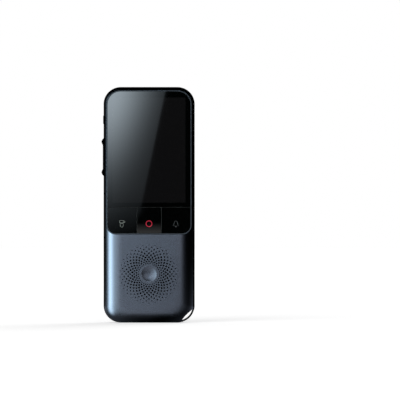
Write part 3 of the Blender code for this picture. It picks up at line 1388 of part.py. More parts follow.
def side_key(name, height, length, rises):
    """A key in the left edge: a shaped face outside, a flange inside that keeps it in its slot."""
    half = length / 2
    flange = half + SIDE_KEY_FLANGE_REACH
    outline = [(-(HALF_WIDTH + rise) - SIDE_KEY_BACK, along * half) for along, rise in rises]
    outline += [
        (SIDE_KEY_FACE - SIDE_KEY_BACK, half), (SIDE_KEY_FACE - SIDE_KEY_BACK, flange), (0.0, flange),
        (0.0, -flange), (SIDE_KEY_FACE - SIDE_KEY_BACK, -flange), (SIDE_KEY_FACE - SIDE_KEY_BACK, -half),
    ]
    key = plate(name, [outline], -SIDE_KEY_DEPTH / 2, SIDE_KEY_DEPTH / 2, (SIDE_KEY_BACK, 0.0, height))
    round_edges(key, SIDE_KEY_EDGE)
    return part(key, GLOSS_BLACK)


def side_keys():
    """The volume rocker, which tips about its middle, and the power key above it."""
    swell = ROCKER_PEAK - ROCKER_SADDLE
    upper = [(along, ROCKER_SADDLE + swell * share) for along, share in ROCKER_HALF_SHARES]
    lower = [(-along, rise) for along, rise in reversed(upper) if along]
    side_key("volume_rocker", ROCKER_HEIGHT, ROCKER_LENGTH, lower + upper)
    flat = [(-1.0, POWER_KEY_STAND), (1.0, POWER_KEY_STAND)]
    side_key("power_key", POWER_KEY_HEIGHT, POWER_KEY_LENGTH, flat)


def side_switches():
    """The small switches on the edge of the board behind the side keys."""
    tip = SIDE_KEY_BACK + SWITCH_FREE_PLAY
    face = tip + SWITCH_NUB_LENGTH
    back = BOARD_FRONT - SEAT_GAP
    for name, height in (
        ("volume_up_switch", ROCKER_HEIGHT + ROCKER_SWITCH_OFFSET),
        ("volume_down_switch", ROCKER_HEIGHT - ROCKER_SWITCH_OFFSET),
        ("power_switch", POWER_KEY_HEIGHT),
    ):
        half = SWITCH_LENGTH / 2
        near = (face, back - SWITCH_HEIGHT, height - half)
        body = block(name, near, (face + SWITCH_WIDTH, back, height + half))
        nub = round_bar(
            name + " nub", SWITCH_NUB_RADIUS, -(face + SWITCH_WIDTH / 2), -tip,
            (0.0, back - SWITCH_HEIGHT / 2, height), TO_LEFT, SMALL_ROUND_STEPS,
        )
        combine(body, cutter(nub), "UNION")
        part(body, BLACK_MOULDING)


def build():
    """Make the whole device."""
    for thing in list(bpy.data.objects):
        bpy.data.objects.remove(thing, do_unlink=True)
    collection(PARTS)
    collection(CUTTERS)
    eye = eye_cutters()
    openings = side_openings()
    front_cover(eye, openings)
    rear_cover(eye, openings)
    strap_bar()
    panel_frame()
    panel_trim()
    display_stack()
    display_flex()
    key_row()
    key_mat()
    speaker()
    main_board()
    board_parts()
    board_screws()
    charging_socket()
    battery()
    antenna()
    camera()
    side_keys()
    side_switches()


build()
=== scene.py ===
"""Looks of a handheld voice translator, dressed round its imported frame.

Metres, +Z up. The device stands upright on a pale floor with its display facing -Y.
Its places and main sizes come from the frame, and the finer sizes are given here.
"""

import json
import logging
import math
from collections.abc import Callable, Sequence
from dataclasses import dataclass, field, replace
from enum import Enum

import bmesh
import bpy
from mathutils import Matrix, Vector

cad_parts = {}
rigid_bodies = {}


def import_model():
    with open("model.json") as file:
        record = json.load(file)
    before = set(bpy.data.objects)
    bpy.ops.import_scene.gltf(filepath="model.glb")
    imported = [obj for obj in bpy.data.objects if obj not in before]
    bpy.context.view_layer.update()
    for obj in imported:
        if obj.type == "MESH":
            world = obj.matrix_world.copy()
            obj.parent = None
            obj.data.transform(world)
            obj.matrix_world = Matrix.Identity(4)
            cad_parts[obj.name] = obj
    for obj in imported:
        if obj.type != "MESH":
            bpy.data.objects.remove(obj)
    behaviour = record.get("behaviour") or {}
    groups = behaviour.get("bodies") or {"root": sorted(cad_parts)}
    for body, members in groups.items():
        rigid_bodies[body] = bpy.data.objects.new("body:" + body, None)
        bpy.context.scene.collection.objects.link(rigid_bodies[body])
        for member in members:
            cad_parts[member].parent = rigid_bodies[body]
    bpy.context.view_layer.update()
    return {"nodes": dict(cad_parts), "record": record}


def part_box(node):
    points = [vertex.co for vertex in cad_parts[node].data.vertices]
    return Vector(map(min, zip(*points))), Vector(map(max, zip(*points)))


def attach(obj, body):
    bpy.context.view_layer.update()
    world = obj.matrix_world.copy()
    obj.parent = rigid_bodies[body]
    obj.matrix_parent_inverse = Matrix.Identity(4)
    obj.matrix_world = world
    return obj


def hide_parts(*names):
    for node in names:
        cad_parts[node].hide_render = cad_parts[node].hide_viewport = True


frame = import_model()

LOG = logging.getLogger("translator")
MM = 0.001
QUARTER = math.pi / 2
FULL = 2 * math.pi

# How finely curves are divided.
CORNER_STEPS = 16
SHOULDER_STEPS = 22
ROUND_STEPS = 64
BOSS_STEPS = 32
BORE_STEPS = 24
EDGE_STEPS = 5
HOLE_SIDES = 14

# The shells' wall and the clearances between pieces, as in the part's source.
WALL = 1.2 * MM
SEAM_GAP = 0.1 * MM
SEAT_GAP = 0.15 * MM
SLIDE_GAP = 0.2 * MM
INLAY_GAP = 0.05 * MM

# How far a cutter reaches past what it cuts, how near points are merged, and the angle over
# which an edge stays sharp.
OVERRUN = 1.0 * MM
MERGE = 0.001 * MM
SHARP_ANGLE = math.radians(32.0)

# A coat's own roughness, the share by which roughness varies, how brush marks are stretched
# along Z, and the waves to a metre of Blender's wave texture at a scale of 1.
COAT_ROUGHNESS = 0.04
ROUGHNESS_SPREAD = 0.10
BRUSH_STRETCH = (1.0, 1.0, 0.06)
WAVES_PER_METRE = 20.0 / FULL

WHITE = (1.0, 1.0, 1.0, 1.0)

# Short names for the types that recur. Bounds are left, right, low and high.
Point = tuple[float, float]
Bounds = tuple[float, float, float, float]
Colour = tuple[float, float, float]
Outline = list[Point]
Ring = list[Vector]
Piece = bpy.types.Object
Tree = bpy.types.NodeTree
Socket = bpy.types.NodeSocket
Sockets = bpy.types.bpy_prop_collection


# Colours, nodes and finishes.

def linear_rgb(code: str) -> tuple[float, float, float, float]:
    """Turn an sRGB hex colour into linear red, green, blue and alpha.

    Args:
        code: Six hex digits.

    Returns:
        The linear colour, opaque.
    """
    channels = [int(code[i:i + 2], 16) / 255 for i in (0, 2, 4)]
    bent = [c / 12.92 if c <= 0.04045 else ((c + 0.055) / 1.055) ** 2.4 for c in channels]
    return (*bent, 1.0)


def add_node(
    tree: Tree, kind: str, settings: dict | None = None, values: dict | None = None,
    links: dict | None = None,
) -> bpy.types.Node:
    """Add a node with its settings, socket values and incoming links.

    Args:
        tree: The node tree to add to.
        kind: The node's type name.
        settings: Property values by name.
        values: Socket values by socket name or number.
        links: Output sockets to link from, by input socket name or number.

    Returns:
        The new node.
    """
    node = tree.nodes.new(kind)
    for name, value in (settings or {}).items():
        setattr(node, name, value)
    for name, value in (values or {}).items():
        node.inputs[name].default_value = value
    for name, source in (links or {}).items():
        tree.links.new(source, node.inputs[name])
    return node


class Grain(Enum):
    """What a surface shows close to: its kind of fine structure."""

    SMOOTH = "smooth"
    FLAKE = "flake"
    SPARK = "spark eroded"
    BRUSHED = "brushed"
    WOVEN = "woven"
    FOAMED = "foamed"


# How many octaves of noise each structure has that is drawn by noise.
NOISE_DETAIL = {Grain.SMOOTH: 1.0, Grain.SPARK: 4.0, Grain.BRUSHED: 2.0, Grain.FOAMED: 3.0}


@dataclass(frozen=True)
class Finish:
    """One finish: what the material is and how its surface was made.

    The grain's size is the real spacing of the structure. Tint is how far the colour
    varies, and relief is how deep the structure is.
    """

    name: str
    colour: str
    roughness: float
    grain: Grain
    grain_size: float
    relief: float
    tint: float = 0.06
    metallic: float = 0.0
    ior: float = 1.5
    coat: float = 0.0
    glow: float = 0.0

    def material(self) -> bpy.types.Material:
        """The material, made once for each finish."""
        made = bpy.data.materials.get(self.name)
        return made if made is not None else self.build()

    def build(self) -> bpy.types.Material:
        """Make the material and its node tree.

        Returns:
            The material.
        """
        made = bpy.data.materials.new(self.name)
        made.use_nodes = True
        tree = made.node_tree
        shader = tree.nodes["Principled BSDF"]
        shader.inputs["Metallic"].default_value = self.metallic
        if self.metallic < 1.0:
            shader.inputs["IOR"].default_value = self.ior
        shader.inputs["Coat Weight"].default_value = self.coat
        if self.coat:
            shader.inputs["Coat Roughness"].default_value = COAT_ROUGHNESS
        if self.glow:
            shader.inputs["Emission Color"].default_value = linear_rgb(self.colour)
            shader.inputs["Emission Strength"].default_value = self.glow
        pattern = self.pattern(tree)
        self.colour_nodes(tree, shader, pattern)
        spread = self.roughness * ROUGHNESS_SPREAD
        rough = add_node(
            tree, "ShaderNodeMapRange",
            values={"To Min": self.roughness - spread, "To Max": self.roughness + spread},
            links={"Value": pattern},
        )
        tree.links.new(rough.outputs["Result"], shader.inputs["Roughness"])
        bump = add_node(
            tree, "ShaderNodeBump", values={"Strength": 1.0, "Distance": self.relief},
            links={"Height": pattern},
        )
        tree.links.new(bump.outputs["Normal"], shader.inputs["Normal"])
        return made

    def pattern(self, tree: Tree) -> Socket:
        """The fine structure as one value between 0 and 1.

        Args:
            tree: The material's node tree.

        Returns:
            The socket that gives the value.
        """
        place = add_node(tree, "ShaderNodeTexCoord").outputs["Object"]
        scale = 1.0 / self.grain_size
        if self.grain is Grain.FLAKE:
            cells = add_node(
                tree, "ShaderNodeTexVoronoi", values={"Scale": scale}, links={"Vector": place},
            )
            return add_node(
                tree, "ShaderNodeSeparateColor", links={"Color": cells.outputs["Color"]},
            ).outputs["Red"]
        if self.grain is Grain.WOVEN:
            return self.weave(tree, place)
        if self.grain is Grain.BRUSHED:
            place = add_node(
                tree, "ShaderNodeMapping", values={"Scale": BRUSH_STRETCH}, links={"Vector": place},
            ).outputs["Vector"]
        noise = add_node(
            tree, "ShaderNodeTexNoise",
            values={"Scale": scale, "Detail": NOISE_DETAIL[self.grain]}, links={"Vector": place},
        )
        return noise.outputs["Fac"]

    def weave(self, tree: Tree, place: Socket) -> Socket:
        """Two sets of threads crossing at right angles.

        Args:
            tree: The material's node tree.
            place: The socket that gives a point's place.

        Returns:
            The socket that gives the threads' height.
        """
        threads = [
            add_node(
                tree, "ShaderNodeTexWave", settings={"bands_direction": way},
                values={"Scale": 1.0 / (self.grain_size * WAVES_PER_METRE)}, links={"Vector": place},
            ).outputs["Fac"]
            for way in ("X", "Z")
        ]
        return add_node(
            tree, "ShaderNodeMath", settings={"operation": "MAXIMUM"}, links=dict(enumerate(threads)),
        ).outputs[0]

    def colour_nodes(self, tree: Tree, shader: bpy.types.Node, pattern: Socket) -> None:
        """Let the colour vary a little with the structure.

        Args:
            tree: The material's node tree.
            shader: Its surface shader.
            pattern: The socket that gives the structure.
        """
        base = linear_rgb(self.colour)
        ends = [tuple(min(c * (1.0 + side * self.tint), 1.0) for c in base[:3]) for side in (-1, 1)]
        ramp = add_node(tree, "ShaderNodeValToRGB", links={"Fac": pattern})
        for element, colour in zip(ramp.color_ramp.elements, ends):
            element.color = (*colour, 1.0)
        tree.links.new(ramp.outputs["Color"], shader.inputs["Base Color"])


@dataclass(frozen=True)
class PrintedGlass(Finish):
    """Cover glass printed black behind, with a clear window over the dark display."""

    window: Bounds = (0.0, 0.0, 0.0, 0.0)
    window_colour: str = "131314"

    def colour_nodes(self, tree: Tree, shader: bpy.types.Node, pattern: Socket) -> None:
        """Black print outside the clear window, the display's dark grey inside it.

        Args:
            tree: The material's node tree.
            shader: Its surface shader.
            pattern: The socket that gives the structure, which glass doesn't show.
        """
        place = add_node(tree, "ShaderNodeTexCoord").outputs["Object"]
        axes = add_node(tree, "ShaderNodeSeparateXYZ", links={"Vector": place})
        left, right, low, high = self.window
        inside = None
        for axis, start, end in (("X", left, right), ("Z", low, high)):
            test = add_node(
                tree, "ShaderNodeMath", settings={"operation": "COMPARE"},
                values={1: (start + end) / 2, 2: (end - start) / 2}, links={0: axes.outputs[axis]},
            ).outputs[0]
            inside = test if inside is None else add_node(
                tree, "ShaderNodeMath", settings={"operation": "MULTIPLY"}, links={0: inside, 1: test},
            ).outputs[0]
        ramp = add_node(tree, "ShaderNodeValToRGB", links={"Fac": inside})
        for element, code in zip(ramp.color_ramp.elements, (self.colour, self.window_colour)):
            element.color = linear_rgb(code)
        tree.links.new(ramp.outputs["Color"], shader.inputs["Base Color"])


# Polyurethane paint with fine aluminium flake, sprayed on moulded plastic: a soft, cool
# metallic sheen. Real flake is 0.03 mm across and is drawn coarser so that it shows.
SHELL_PAINT = Finish(
    "Metallic blue-grey polyurethane paint", "545A66", 0.22, Grain.FLAKE, 0.10 * MM,
    relief=0.00025 * MM, tint=0.10, metallic=1.0,
)
# The camera's window, mineral glass polished and printed black behind: deep black under clear
# reflections.
WINDOW_GLASS = Finish(
    "Black printed mineral glass", "050607", 0.03, Grain.SMOOTH, 12.0 * MM, relief=0.0,
)
# The front's cover glass, polished and printed black behind all round the display: the same
# deep black, and a dark grey area where the display lies behind it.
COVER_GLASS = PrintedGlass(
    "Clear cover glass printed black", "020303", 0.02, Grain.SMOOTH, 14.0 * MM, relief=0.0,
)
# Glass-filled polycarbonate from a spark eroded mould: an even, matt black.
MATT_MOULDING = Finish(
    "Spark eroded black polycarbonate", "08090A", 0.48, Grain.SPARK, 0.12 * MM, relief=0.004 * MM,
)
# Polycarbonate from a polished mould: gloss black, with clear, faintly wavy reflections.
GLOSS_MOULDING = Finish(
    "Polished black polycarbonate", "020303", 0.03, Grain.SMOOTH, 4.0 * MM, relief=0.0, ior=1.58,
)
# Smoked chrome plating on the trim line: dark and satin, it catches light as a thin line.
SMOKED_CHROME = Finish(
    "Smoked chrome plate", "40454C", 0.32, Grain.BRUSHED, 0.20 * MM, relief=0.0003 * MM, metallic=1.0,
)
# Acrylic light guide with a frosted face, lit from behind: an even, soft red.
RED_GUIDE = Finish(
    "Frosted red acrylic", "B80C30", 0.45, Grain.SMOOTH, 0.5 * MM, relief=0.001 * MM, glow=0.4,
)
# Screen prints on the outer keys: flat matt lines with a faint glow, painted light that makes them read
# lighter on the gloss.
PALE_PRINT_WITH_PAINTED_LIGHT = Finish(
    "Pale grey screen print", "848C86", 0.55, Grain.SPARK, 0.08 * MM, relief=0.0, glow=0.3,
)
DARK_PRINT_WITH_PAINTED_LIGHT = Finish(
    "Dark grey screen print", "404244", 0.55, Grain.SPARK, 0.08 * MM, relief=0.0, glow=0.4,
)
# Compression moulded silicone rubber: dull grey, with a fine even grain.
SILICONE = Finish("Grey silicone rubber", "3A3C40", 0.75, Grain.SPARK, 0.20 * MM, relief=0.004 * MM)
# Die-cut foam: black with small pores, it gives back almost no light.
FOAM = Finish("Black closed-cell foam", "1B1B1C", 0.95, Grain.FOAMED, 0.30 * MM, relief=0.03 * MM)
# Solder mask screened on glass-epoxy: half gloss, with the weave showing faintly through it.
GREEN_BOARD = Finish(
    "Green solder mask on glass-epoxy", "1D4A34", 0.40, Grain.WOVEN, 0.45 * MM, relief=0.002 * MM,
)
BLACK_BOARD = Finish(
    "Black solder mask on glass-epoxy", "15181A", 0.42, Grain.WOVEN, 0.45 * MM, relief=0.002 * MM,
)
# Polyimide film laminated over copper: a smooth, warm half gloss.
POLYIMIDE = Finish("Amber polyimide film", "9C5A1E", 0.32, Grain.SMOOTH, 1.5 * MM, relief=0.002 * MM)
# Rolled steel sheet, tinned and folded: bright metal with fine rolling lines.
TINNED_STEEL = Finish(
    "Tinned steel sheet", "A9ABAC", 0.30, Grain.BRUSHED, 0.25 * MM, relief=0.0006 * MM, metallic=1.0,
)
# Stainless steel drawn and brushed satin: an even, soft metal shine.
STAINLESS = Finish(
    "Satin stainless steel", "B4B6B8", 0.26, Grain.BRUSHED, 0.15 * MM, relief=0.0005 * MM, metallic=1.0,
)
# Aluminium rings, turned and dark anodised: thin grey lines with a soft shine.
DARK_ANODISED = Finish(
    "Dark anodised aluminium", "5A6068", 0.24, Grain.BRUSHED, 0.12 * MM, relief=0.0004 * MM, metallic=1.0,
)
# Laminated polariser on the display: near black, with a soft gloss.
POLARISER = Finish("Display polariser film", "0C0D10", 0.18, Grain.SMOOTH, 3.0 * MM, relief=0.0)
# Pigmented moulding behind the display: plain bright white, half matt.
WHITE_MOULDING = Finish(
    "White reflector moulding", "C9CBCB", 0.50, Grain.SPARK, 0.15 * MM, relief=0.002 * MM,
)
# Heat-sealed pouch of coated aluminium foil: silver, with slow shallow creases.
LAMINATE = Finish(
    "Silver laminate pouch", "8E9196", 0.36, Grain.SMOOTH, 2.5 * MM, relief=0.02 * MM, metallic=0.8,
)
# Nickel plating on a ground magnet: grey and bright, with fine grinding marks.
NICKEL = Finish(
    "Nickel plated magnet", "8C8C88", 0.30, Grain.BRUSHED, 0.20 * MM, relief=0.0005 * MM, metallic=1.0,
)
# Hot-pressed film: black and half matt, slightly wavy.
CONE_FILM = Finish(
    "Black pressed speaker film", "17181A", 0.50, Grain.SMOOTH, 0.8 * MM, relief=0.004 * MM,
)
# Woven polyester: dull black, with its threads just showing. Its colour is drawn darker than the cloth's
# own, as painted shade in the grille's holes.
DUST_MESH_AND_HOLE_SHADE = Finish(
    "Woven polyester dust mesh", "060708", 0.80, Grain.WOVEN, 0.16 * MM, relief=0.02 * MM, tint=0.5,
)
# Ground and coated lens glass: a dark, clear gloss with a violet cast.
COATED_LENS = Finish(
    "Violet coated lens glass", "12142A", 0.03, Grain.SMOOTH, 6.0 * MM, relief=0.0, ior=1.6, coat=1.0,
)
# Frosted moulding over the flash: milky and warm from the yellow source behind it.
DIFFUSER = Finish(
    "Warm frosted flash diffuser", "CFC8A6", 0.35, Grain.SPARK, 0.25 * MM, relief=0.01 * MM,
)
# Dispensed phosphor on the flash's light source: matt yellow.
PHOSPHOR = Finish("Yellow phosphor", "D9C23A", 0.50, Grain.SPARK, 0.10 * MM, relief=0.004 * MM)
# Extruded wire insulation: plain colour with a half gloss.
RED_WIRE = Finish("Red insulated wire", "A3161A", 0.45, Grain.SMOOTH, 0.5 * MM, relief=0.001 * MM)
BLACK_WIRE = Finish(
    "Black insulated wire", "121212", 0.45, Grain.SMOOTH, 0.5 * MM, relief=0.001 * MM,
)
# Hard gold plating on the contacts: warm, bright metal.
GOLD = Finish(
    "Gold plated contact", "D2A85A", 0.22, Grain.BRUSHED, 0.10 * MM, relief=0.0002 * MM, metallic=1.0,
)


# Outlines, as (across, up) points that run anticlockwise seen from the front.

def arc(centre: Point, radius: float, start: float, end: float, steps: int) -> Outline:
    """Points along an arc, both ends included."""
    turns = [start + (end - start) * i / steps for i in range(steps + 1)]
    return [(centre[0] + radius * math.cos(t), centre[1] + radius * math.sin(t)) for t in turns]


def rounded(
    left: float, right: float, low: float, high: float, radii: Sequence[float],
    steps: int = CORNER_STEPS,
) -> Outline:
    """A rectangle with rounded corners.

    Args:
        left: Its left edge.
        right: Its right edge.
        low: Its lower edge.
        high: Its upper edge.
        radii: The corners' radii, from the lower right round.
        steps: Steps in each corner.

    Returns:
        Its outline.
    """
    lower_right, upper_right, upper_left, lower_left = radii
    corners = (
        (right - lower_right, low + lower_right, lower_right),
        (right - upper_right, high - upper_right, upper_right),
        (left + upper_left, high - upper_left, upper_left),
        (left + lower_left, low + lower_left, lower_left),
    )
    points: Outline = []
    for turn, (across, up, radius) in enumerate(corners):
        start = (turn - 1) * QUARTER
        points += arc((across, up), radius, start, start + QUARTER, steps)
    return points


def circle(radius: float, centre: Point = (0.0, 0.0), steps: int = ROUND_STEPS) -> Outline:
    """A circle."""
    return arc(centre, radius, 0.0, FULL * (steps - 1) / steps, steps - 1)


def stadium(length: float, width: float, centre: Point = (0.0, 0.0)) -> Outline:
    """A slot with round ends, long across.

    Args:
        length: Its whole length.
        width: Its width.
        centre: Its middle.

    Returns:
        Its outline.
    """
    reach = (length - width) / 2
    right = arc((centre[0] + reach, centre[1]), width / 2, -QUARTER, QUARTER, 2 * CORNER_STEPS)
    left = arc((centre[0] - reach, centre[1]), width / 2, QUARTER, 3 * QUARTER, 2 * CORNER_STEPS)
    return right + left


def at_depth(outline: Outline, depth: float) -> Ring:
    """An outline seen from the front, placed at a depth."""
    return [Vector((across, depth, up)) for across, up in outline]


def at_height(outline: Outline, height: float) -> Ring:
    """An outline seen from above, placed at a height."""
    return [Vector((across, along, height)) for across, along in outline]


# Solids.

def as_object(name: str, mesh: bpy.types.Mesh) -> Piece:
    """Put a mesh in the scene.

    Args:
        name: The new object's name.
        mesh: Its mesh.

    Returns:
        The object.
    """
    piece = bpy.data.objects.new(name, mesh)
    bpy.context.scene.collection.objects.link(piece)
    return piece


def from_bmesh(name: str, built: bmesh.types.BMesh) -> Piece:
    """Finish a mesh that is being built, with its faces outwards, and put it in the scene.

    Args:
        name: The new object's name.
        built: The mesh being built, which is freed.

    Returns:
        The object.
    """
    bmesh.ops.recalc_face_normals(built, faces=built.faces)
    mesh = bpy.data.meshes.new(name)
    built.to_mesh(mesh)
    built.free()
    return as_object(name, mesh)


def loft(name: str, rings: Sequence[Ring]) -> Piece:
    """Skin a row of rings that have the same number of points, and cap both ends.

    Args:
        name: The solid's name.
        rings: The rings in order, each running the same way round.

    Returns:
        The closed solid.
    """
    built = bmesh.new()
    rows = [[built.verts.new(point) for point in ring] for ring in rings]
    for row, following in zip(rows, rows[1:]):
        for i in range(len(row)):
            j = (i + 1) % len(row)
            built.faces.new((row[i], row[j], following[j], following[i]))
    built.faces.new(rows[0])
    built.faces.new(rows[-1])
    return from_bmesh(name, built)


def plate(name: str, outline: Outline, front: float, back: float) -> Piece:
    """A flat piece seen from the front, between two depths."""
    return loft(name, [at_depth(outline, front), at_depth(outline, back)])


def edged_plate(
    name: str, outline_at: Callable[[float], Outline], front: float, back: float, edge: float,
    both: bool = False,
) -> Piece:
    """A flat piece whose front edge, or both edges, are rounded.

    Args:
        name: The piece's name.
        outline_at: Gives the outline shrunk by a distance.
        front: Where its face is.
        back: Where its back is.
        edge: The radius of its edges.
        both: Whether the back edge is rounded too.

    Returns:
        The piece.
    """
    toward = 1.0 if back > front else -1.0
    turns = [i / EDGE_STEPS * QUARTER for i in range(EDGE_STEPS + 1)]
    rows = [(edge * (1.0 - math.sin(t)), front + toward * edge * (1.0 - math.cos(t))) for t in turns]
    if both:
        rows += [(inset, front + back - depth) for inset, depth in reversed(rows)]
    else:
        rows.append((0.0, back))
    return loft(name, [at_depth(outline_at(inset), depth) for inset, depth in rows])


def revolve(name: str, profile: Sequence[Point], centre: Point, base: float, toward: float) -> Piece:
    """Turn a profile round an axis that runs front to back.

    Args:
        name: The piece's name.
        profile: (radius, rise) points, from axis to axis, or a loop clear of the axis.
        centre: Where the axis is, across and up.
        base: The depth from which rises are counted.
        toward: -1 for rises to the front, 1 for rises to the back.

    Returns:
        The closed solid.
    """
    built = bmesh.new()
    rows = []
    for radius, rise in profile:
        depth = base + toward * rise
        if radius == 0.0:
            rows.append([built.verts.new((centre[0], depth, centre[1]))] * ROUND_STEPS)
        else:
            rows.append([built.verts.new((x, depth, z)) for x, z in circle(radius, centre)])
    if profile[0][0] > 0.0 and profile[-1][0] > 0.0:
        rows.append(rows[0])
    for row, following in zip(rows, rows[1:]):
        for i in range(ROUND_STEPS):
            j = (i + 1) % ROUND_STEPS
            corners = list(dict.fromkeys((row[i], row[j], following[j], following[i])))
            built.faces.new(corners)
    return from_bmesh(name, built)


def settle(piece: Piece) -> None:
    """Turn a piece's modifiers into plain mesh.

    Args:
        piece: The piece.
    """
    graph = bpy.context.evaluated_depsgraph_get()
    mesh = bpy.data.meshes.new_from_object(piece.evaluated_get(graph))
    piece.modifiers.clear()
    former = piece.data
    piece.data = mesh
    bpy.data.meshes.remove(former)


def combine(piece: Piece, others: Sequence[Piece], operation: str = "DIFFERENCE") -> Piece:
    """Cut or join solids into a piece, and delete them.

    Args:
        piece: The piece to change.
        others: The solids, in order.
        operation: The Boolean operation.

    Returns:
        The piece.
    """
    for other in others:
        change = piece.modifiers.new(other.name, "BOOLEAN")
        change.operation = operation
        change.object = other
        change.solver = "EXACT"
    settle(piece)
    for other in others:
        bpy.data.objects.remove(other)
    return piece


def open_tree(name: str, inputs: dict[str, str]) -> tuple[Tree, Sockets]:
    """Start a geometry tree with named inputs.

    Args:
        name: The tree's name.
        inputs: The kind of socket of each input, by name.

    Returns:
        The tree and the sockets that give its inputs.
    """
    tree = bpy.data.node_groups.new(name, "GeometryNodeTree")
    for title, kind in {"Geometry": "Geometry", "Material": "Material", **inputs}.items():
        tree.interface.new_socket(title, in_out="INPUT", socket_type="NodeSocket" + kind)
    tree.interface.new_socket("Geometry", in_out="OUTPUT", socket_type="NodeSocketGeometry")
    return tree, add_node(tree, "NodeGroupInput").outputs


def close_tree(tree: Tree, given: Sockets, made: Socket, keep: bool = True) -> Tree:
    """End a geometry tree: make its instances real, and give them their material.

    Args:
        tree: The tree.
        given: The sockets that give its inputs.
        made: What the tree has made.
        keep: Whether what came in is kept beside it.

    Returns:
        The tree.
    """
    real = add_node(tree, "GeometryNodeRealizeInstances", links={"Geometry": made}).outputs["Geometry"]
    if keep:
        joined = add_node(tree, "GeometryNodeJoinGeometry", links={"Geometry": given["Geometry"]})
        tree.links.new(real, joined.inputs["Geometry"])
        real = joined.outputs["Geometry"]
    painted = add_node(
        tree, "GeometryNodeSetMaterial", links={"Geometry": real, "Material": given["Material"]},
    )
    add_node(tree, "NodeGroupOutput", links={"Geometry": painted.outputs["Geometry"]})
    return tree


def run_tree(piece: Piece, tree: Tree, inputs: dict) -> None:
    """Put a geometry tree on a piece with its inputs set.

    Args:
        piece: The piece.
        tree: The tree.
        inputs: The inputs' values by name.
    """
    items = tree.interface.items_tree
    sockets = {item.name: item.identifier for item in items if item.in_out == "INPUT"}
    change = piece.modifiers.new(tree.name, "NODES")
    change.node_group = tree
    for name, value in inputs.items():
        change[sockets[name]] = value


def smooth(piece: Piece) -> Piece:
    """Shade a piece smoothly with its real edges sharp and its flat faces flat.

    Its faces are weighed by their areas in square millimetres, since areas in square metres are
    too small for the modifier.

    Args:
        piece: The piece.

    Returns:
        The piece, with coinciding points merged.
    """
    built = bmesh.new()
    built.from_mesh(piece.data)
    bmesh.ops.remove_doubles(built, verts=built.verts, dist=MERGE)
    bmesh.ops.recalc_face_normals(built, faces=built.faces)
    built.to_mesh(piece.data)
    built.free()
    piece.data.transform(Matrix.Scale(1.0 / MM, 4))
    piece.data.shade_smooth()
    piece.data.set_sharp_from_angle(angle=SHARP_ANGLE)
    weigh = piece.modifiers.new("flat faces stay flat", "WEIGHTED_NORMAL")
    weigh.keep_sharp = True
    settle(piece)
    piece.data.transform(Matrix.Scale(MM, 4))
    return piece


def dress(piece: Piece, finish: Finish, body: str, nodes: Sequence[str] = ()) -> None:
    """Give a piece its finish, its body and the nodes that it stands for.

    Args:
        piece: The finished piece.
        finish: What it is made of.
        body: The frame's body that it rides on.
        nodes: The frame's nodes that it replaces.
    """
    piece.data.materials.clear()
    piece.data.materials.append(finish.material())
    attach(piece, body)
    if nodes:
        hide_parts(*nodes)
    LOG.info("%s: %s, %d faces", piece.name, finish.name, len(piece.data.polygons))


# Sub-assemblies.

@dataclass
class BodyForm:
    """The form that both painted shells share."""

    half_width: float
    height: float
    half_depth: float
    corner_radius: float = 9.9 * MM
    flat_corner_radius: float = 6.2 * MM
    side_shoulder: float = 10.6 * MM
    end_shoulder: float = 6.7 * MM
    side_band: float = 1.2 * MM
    end_band: float = 2.8 * MM
    band_steps: int = 6
    shoulder_power: float = 2.5
    flat_margin: float = 0.4 * MM

    def inset(self, depth: float, half_depth: float, band: float, reach: float) -> float:
        """How far an edge draws in at a depth: none in its band, then a curve.

        Args:
            depth: The depth from the seam.
            half_depth: The depth at which the curve ends.
            band: The depth up to which the edge is straight.
            reach: How far the edge draws in at the end.

        Returns:
            The distance.
        """
        if depth <= band:
            return 0.0
        share = min((depth - band) / (half_depth - band), 1.0)
        power = self.shoulder_power
        return reach * (1.0 - (1.0 - share ** power) ** (1.0 / power))

    def outline(self, depth: float, shrink: float, extra: float = 0.0) -> Outline:
        """The body's outline at a depth.

        Args:
            depth: The depth from the seam.
            shrink: The wall by which the form is smaller than the body, in all directions.
            extra: A margin by which only the outline is smaller.

        Returns:
            The outline.
        """
        half_depth = self.half_depth - shrink
        side_reach = self.side_shoulder - shrink
        side = self.inset(depth, half_depth, self.side_band, side_reach)
        end = self.inset(depth, half_depth, self.end_band, self.end_shoulder - shrink)
        share = side / side_reach
        radius = (self.corner_radius - shrink) * (1.0 - share) + self.flat_corner_radius * share
        half = self.half_width - shrink - side - extra
        low = shrink + end + extra
        return rounded(-half, half, low, self.height - low, (radius - extra,) * 4)

    def depths(self, shrink: float) -> list[float]:
        """The depths of the sections, closer together where the shoulders curve most.

        Args:
            shrink: The wall by which the form is smaller than the body.

        Returns:
            The depths, from the seam outwards.
        """
        half_depth = self.half_depth - shrink
        band, steps = self.end_band - self.side_band, self.band_steps
        depths = [self.side_band + band * i / steps for i in range(steps)]
        for step in range(SHOULDER_STEPS + 1):
            rise = math.sin(step / SHOULDER_STEPS * QUARTER) ** (2.0 / self.shoulder_power)
            depths.append(self.end_band + (half_depth - self.end_band) * rise)
        return depths

    def solid(self, name: str, side: int, shrink: float, start: float) -> Piece:
        """Half of the body as one closed solid.

        Args:
            name: The solid's name.
            side: -1 for the front half, 1 for the back half.
            shrink: The wall by which it is smaller than the body.
            start: The depth at which it starts.

        Returns:
            The solid, with a narrow ring of its own inside its flat face.
        """
        depths = self.depths(shrink)
        rings = [at_depth(self.outline(0.0, shrink), start)]
        rings += [at_depth(self.outline(depth, shrink), side * depth) for depth in depths]
        rings.append(at_depth(self.outline(depths[-1], shrink, self.flat_margin), side * depths[-1]))
        return loft(name, rings)


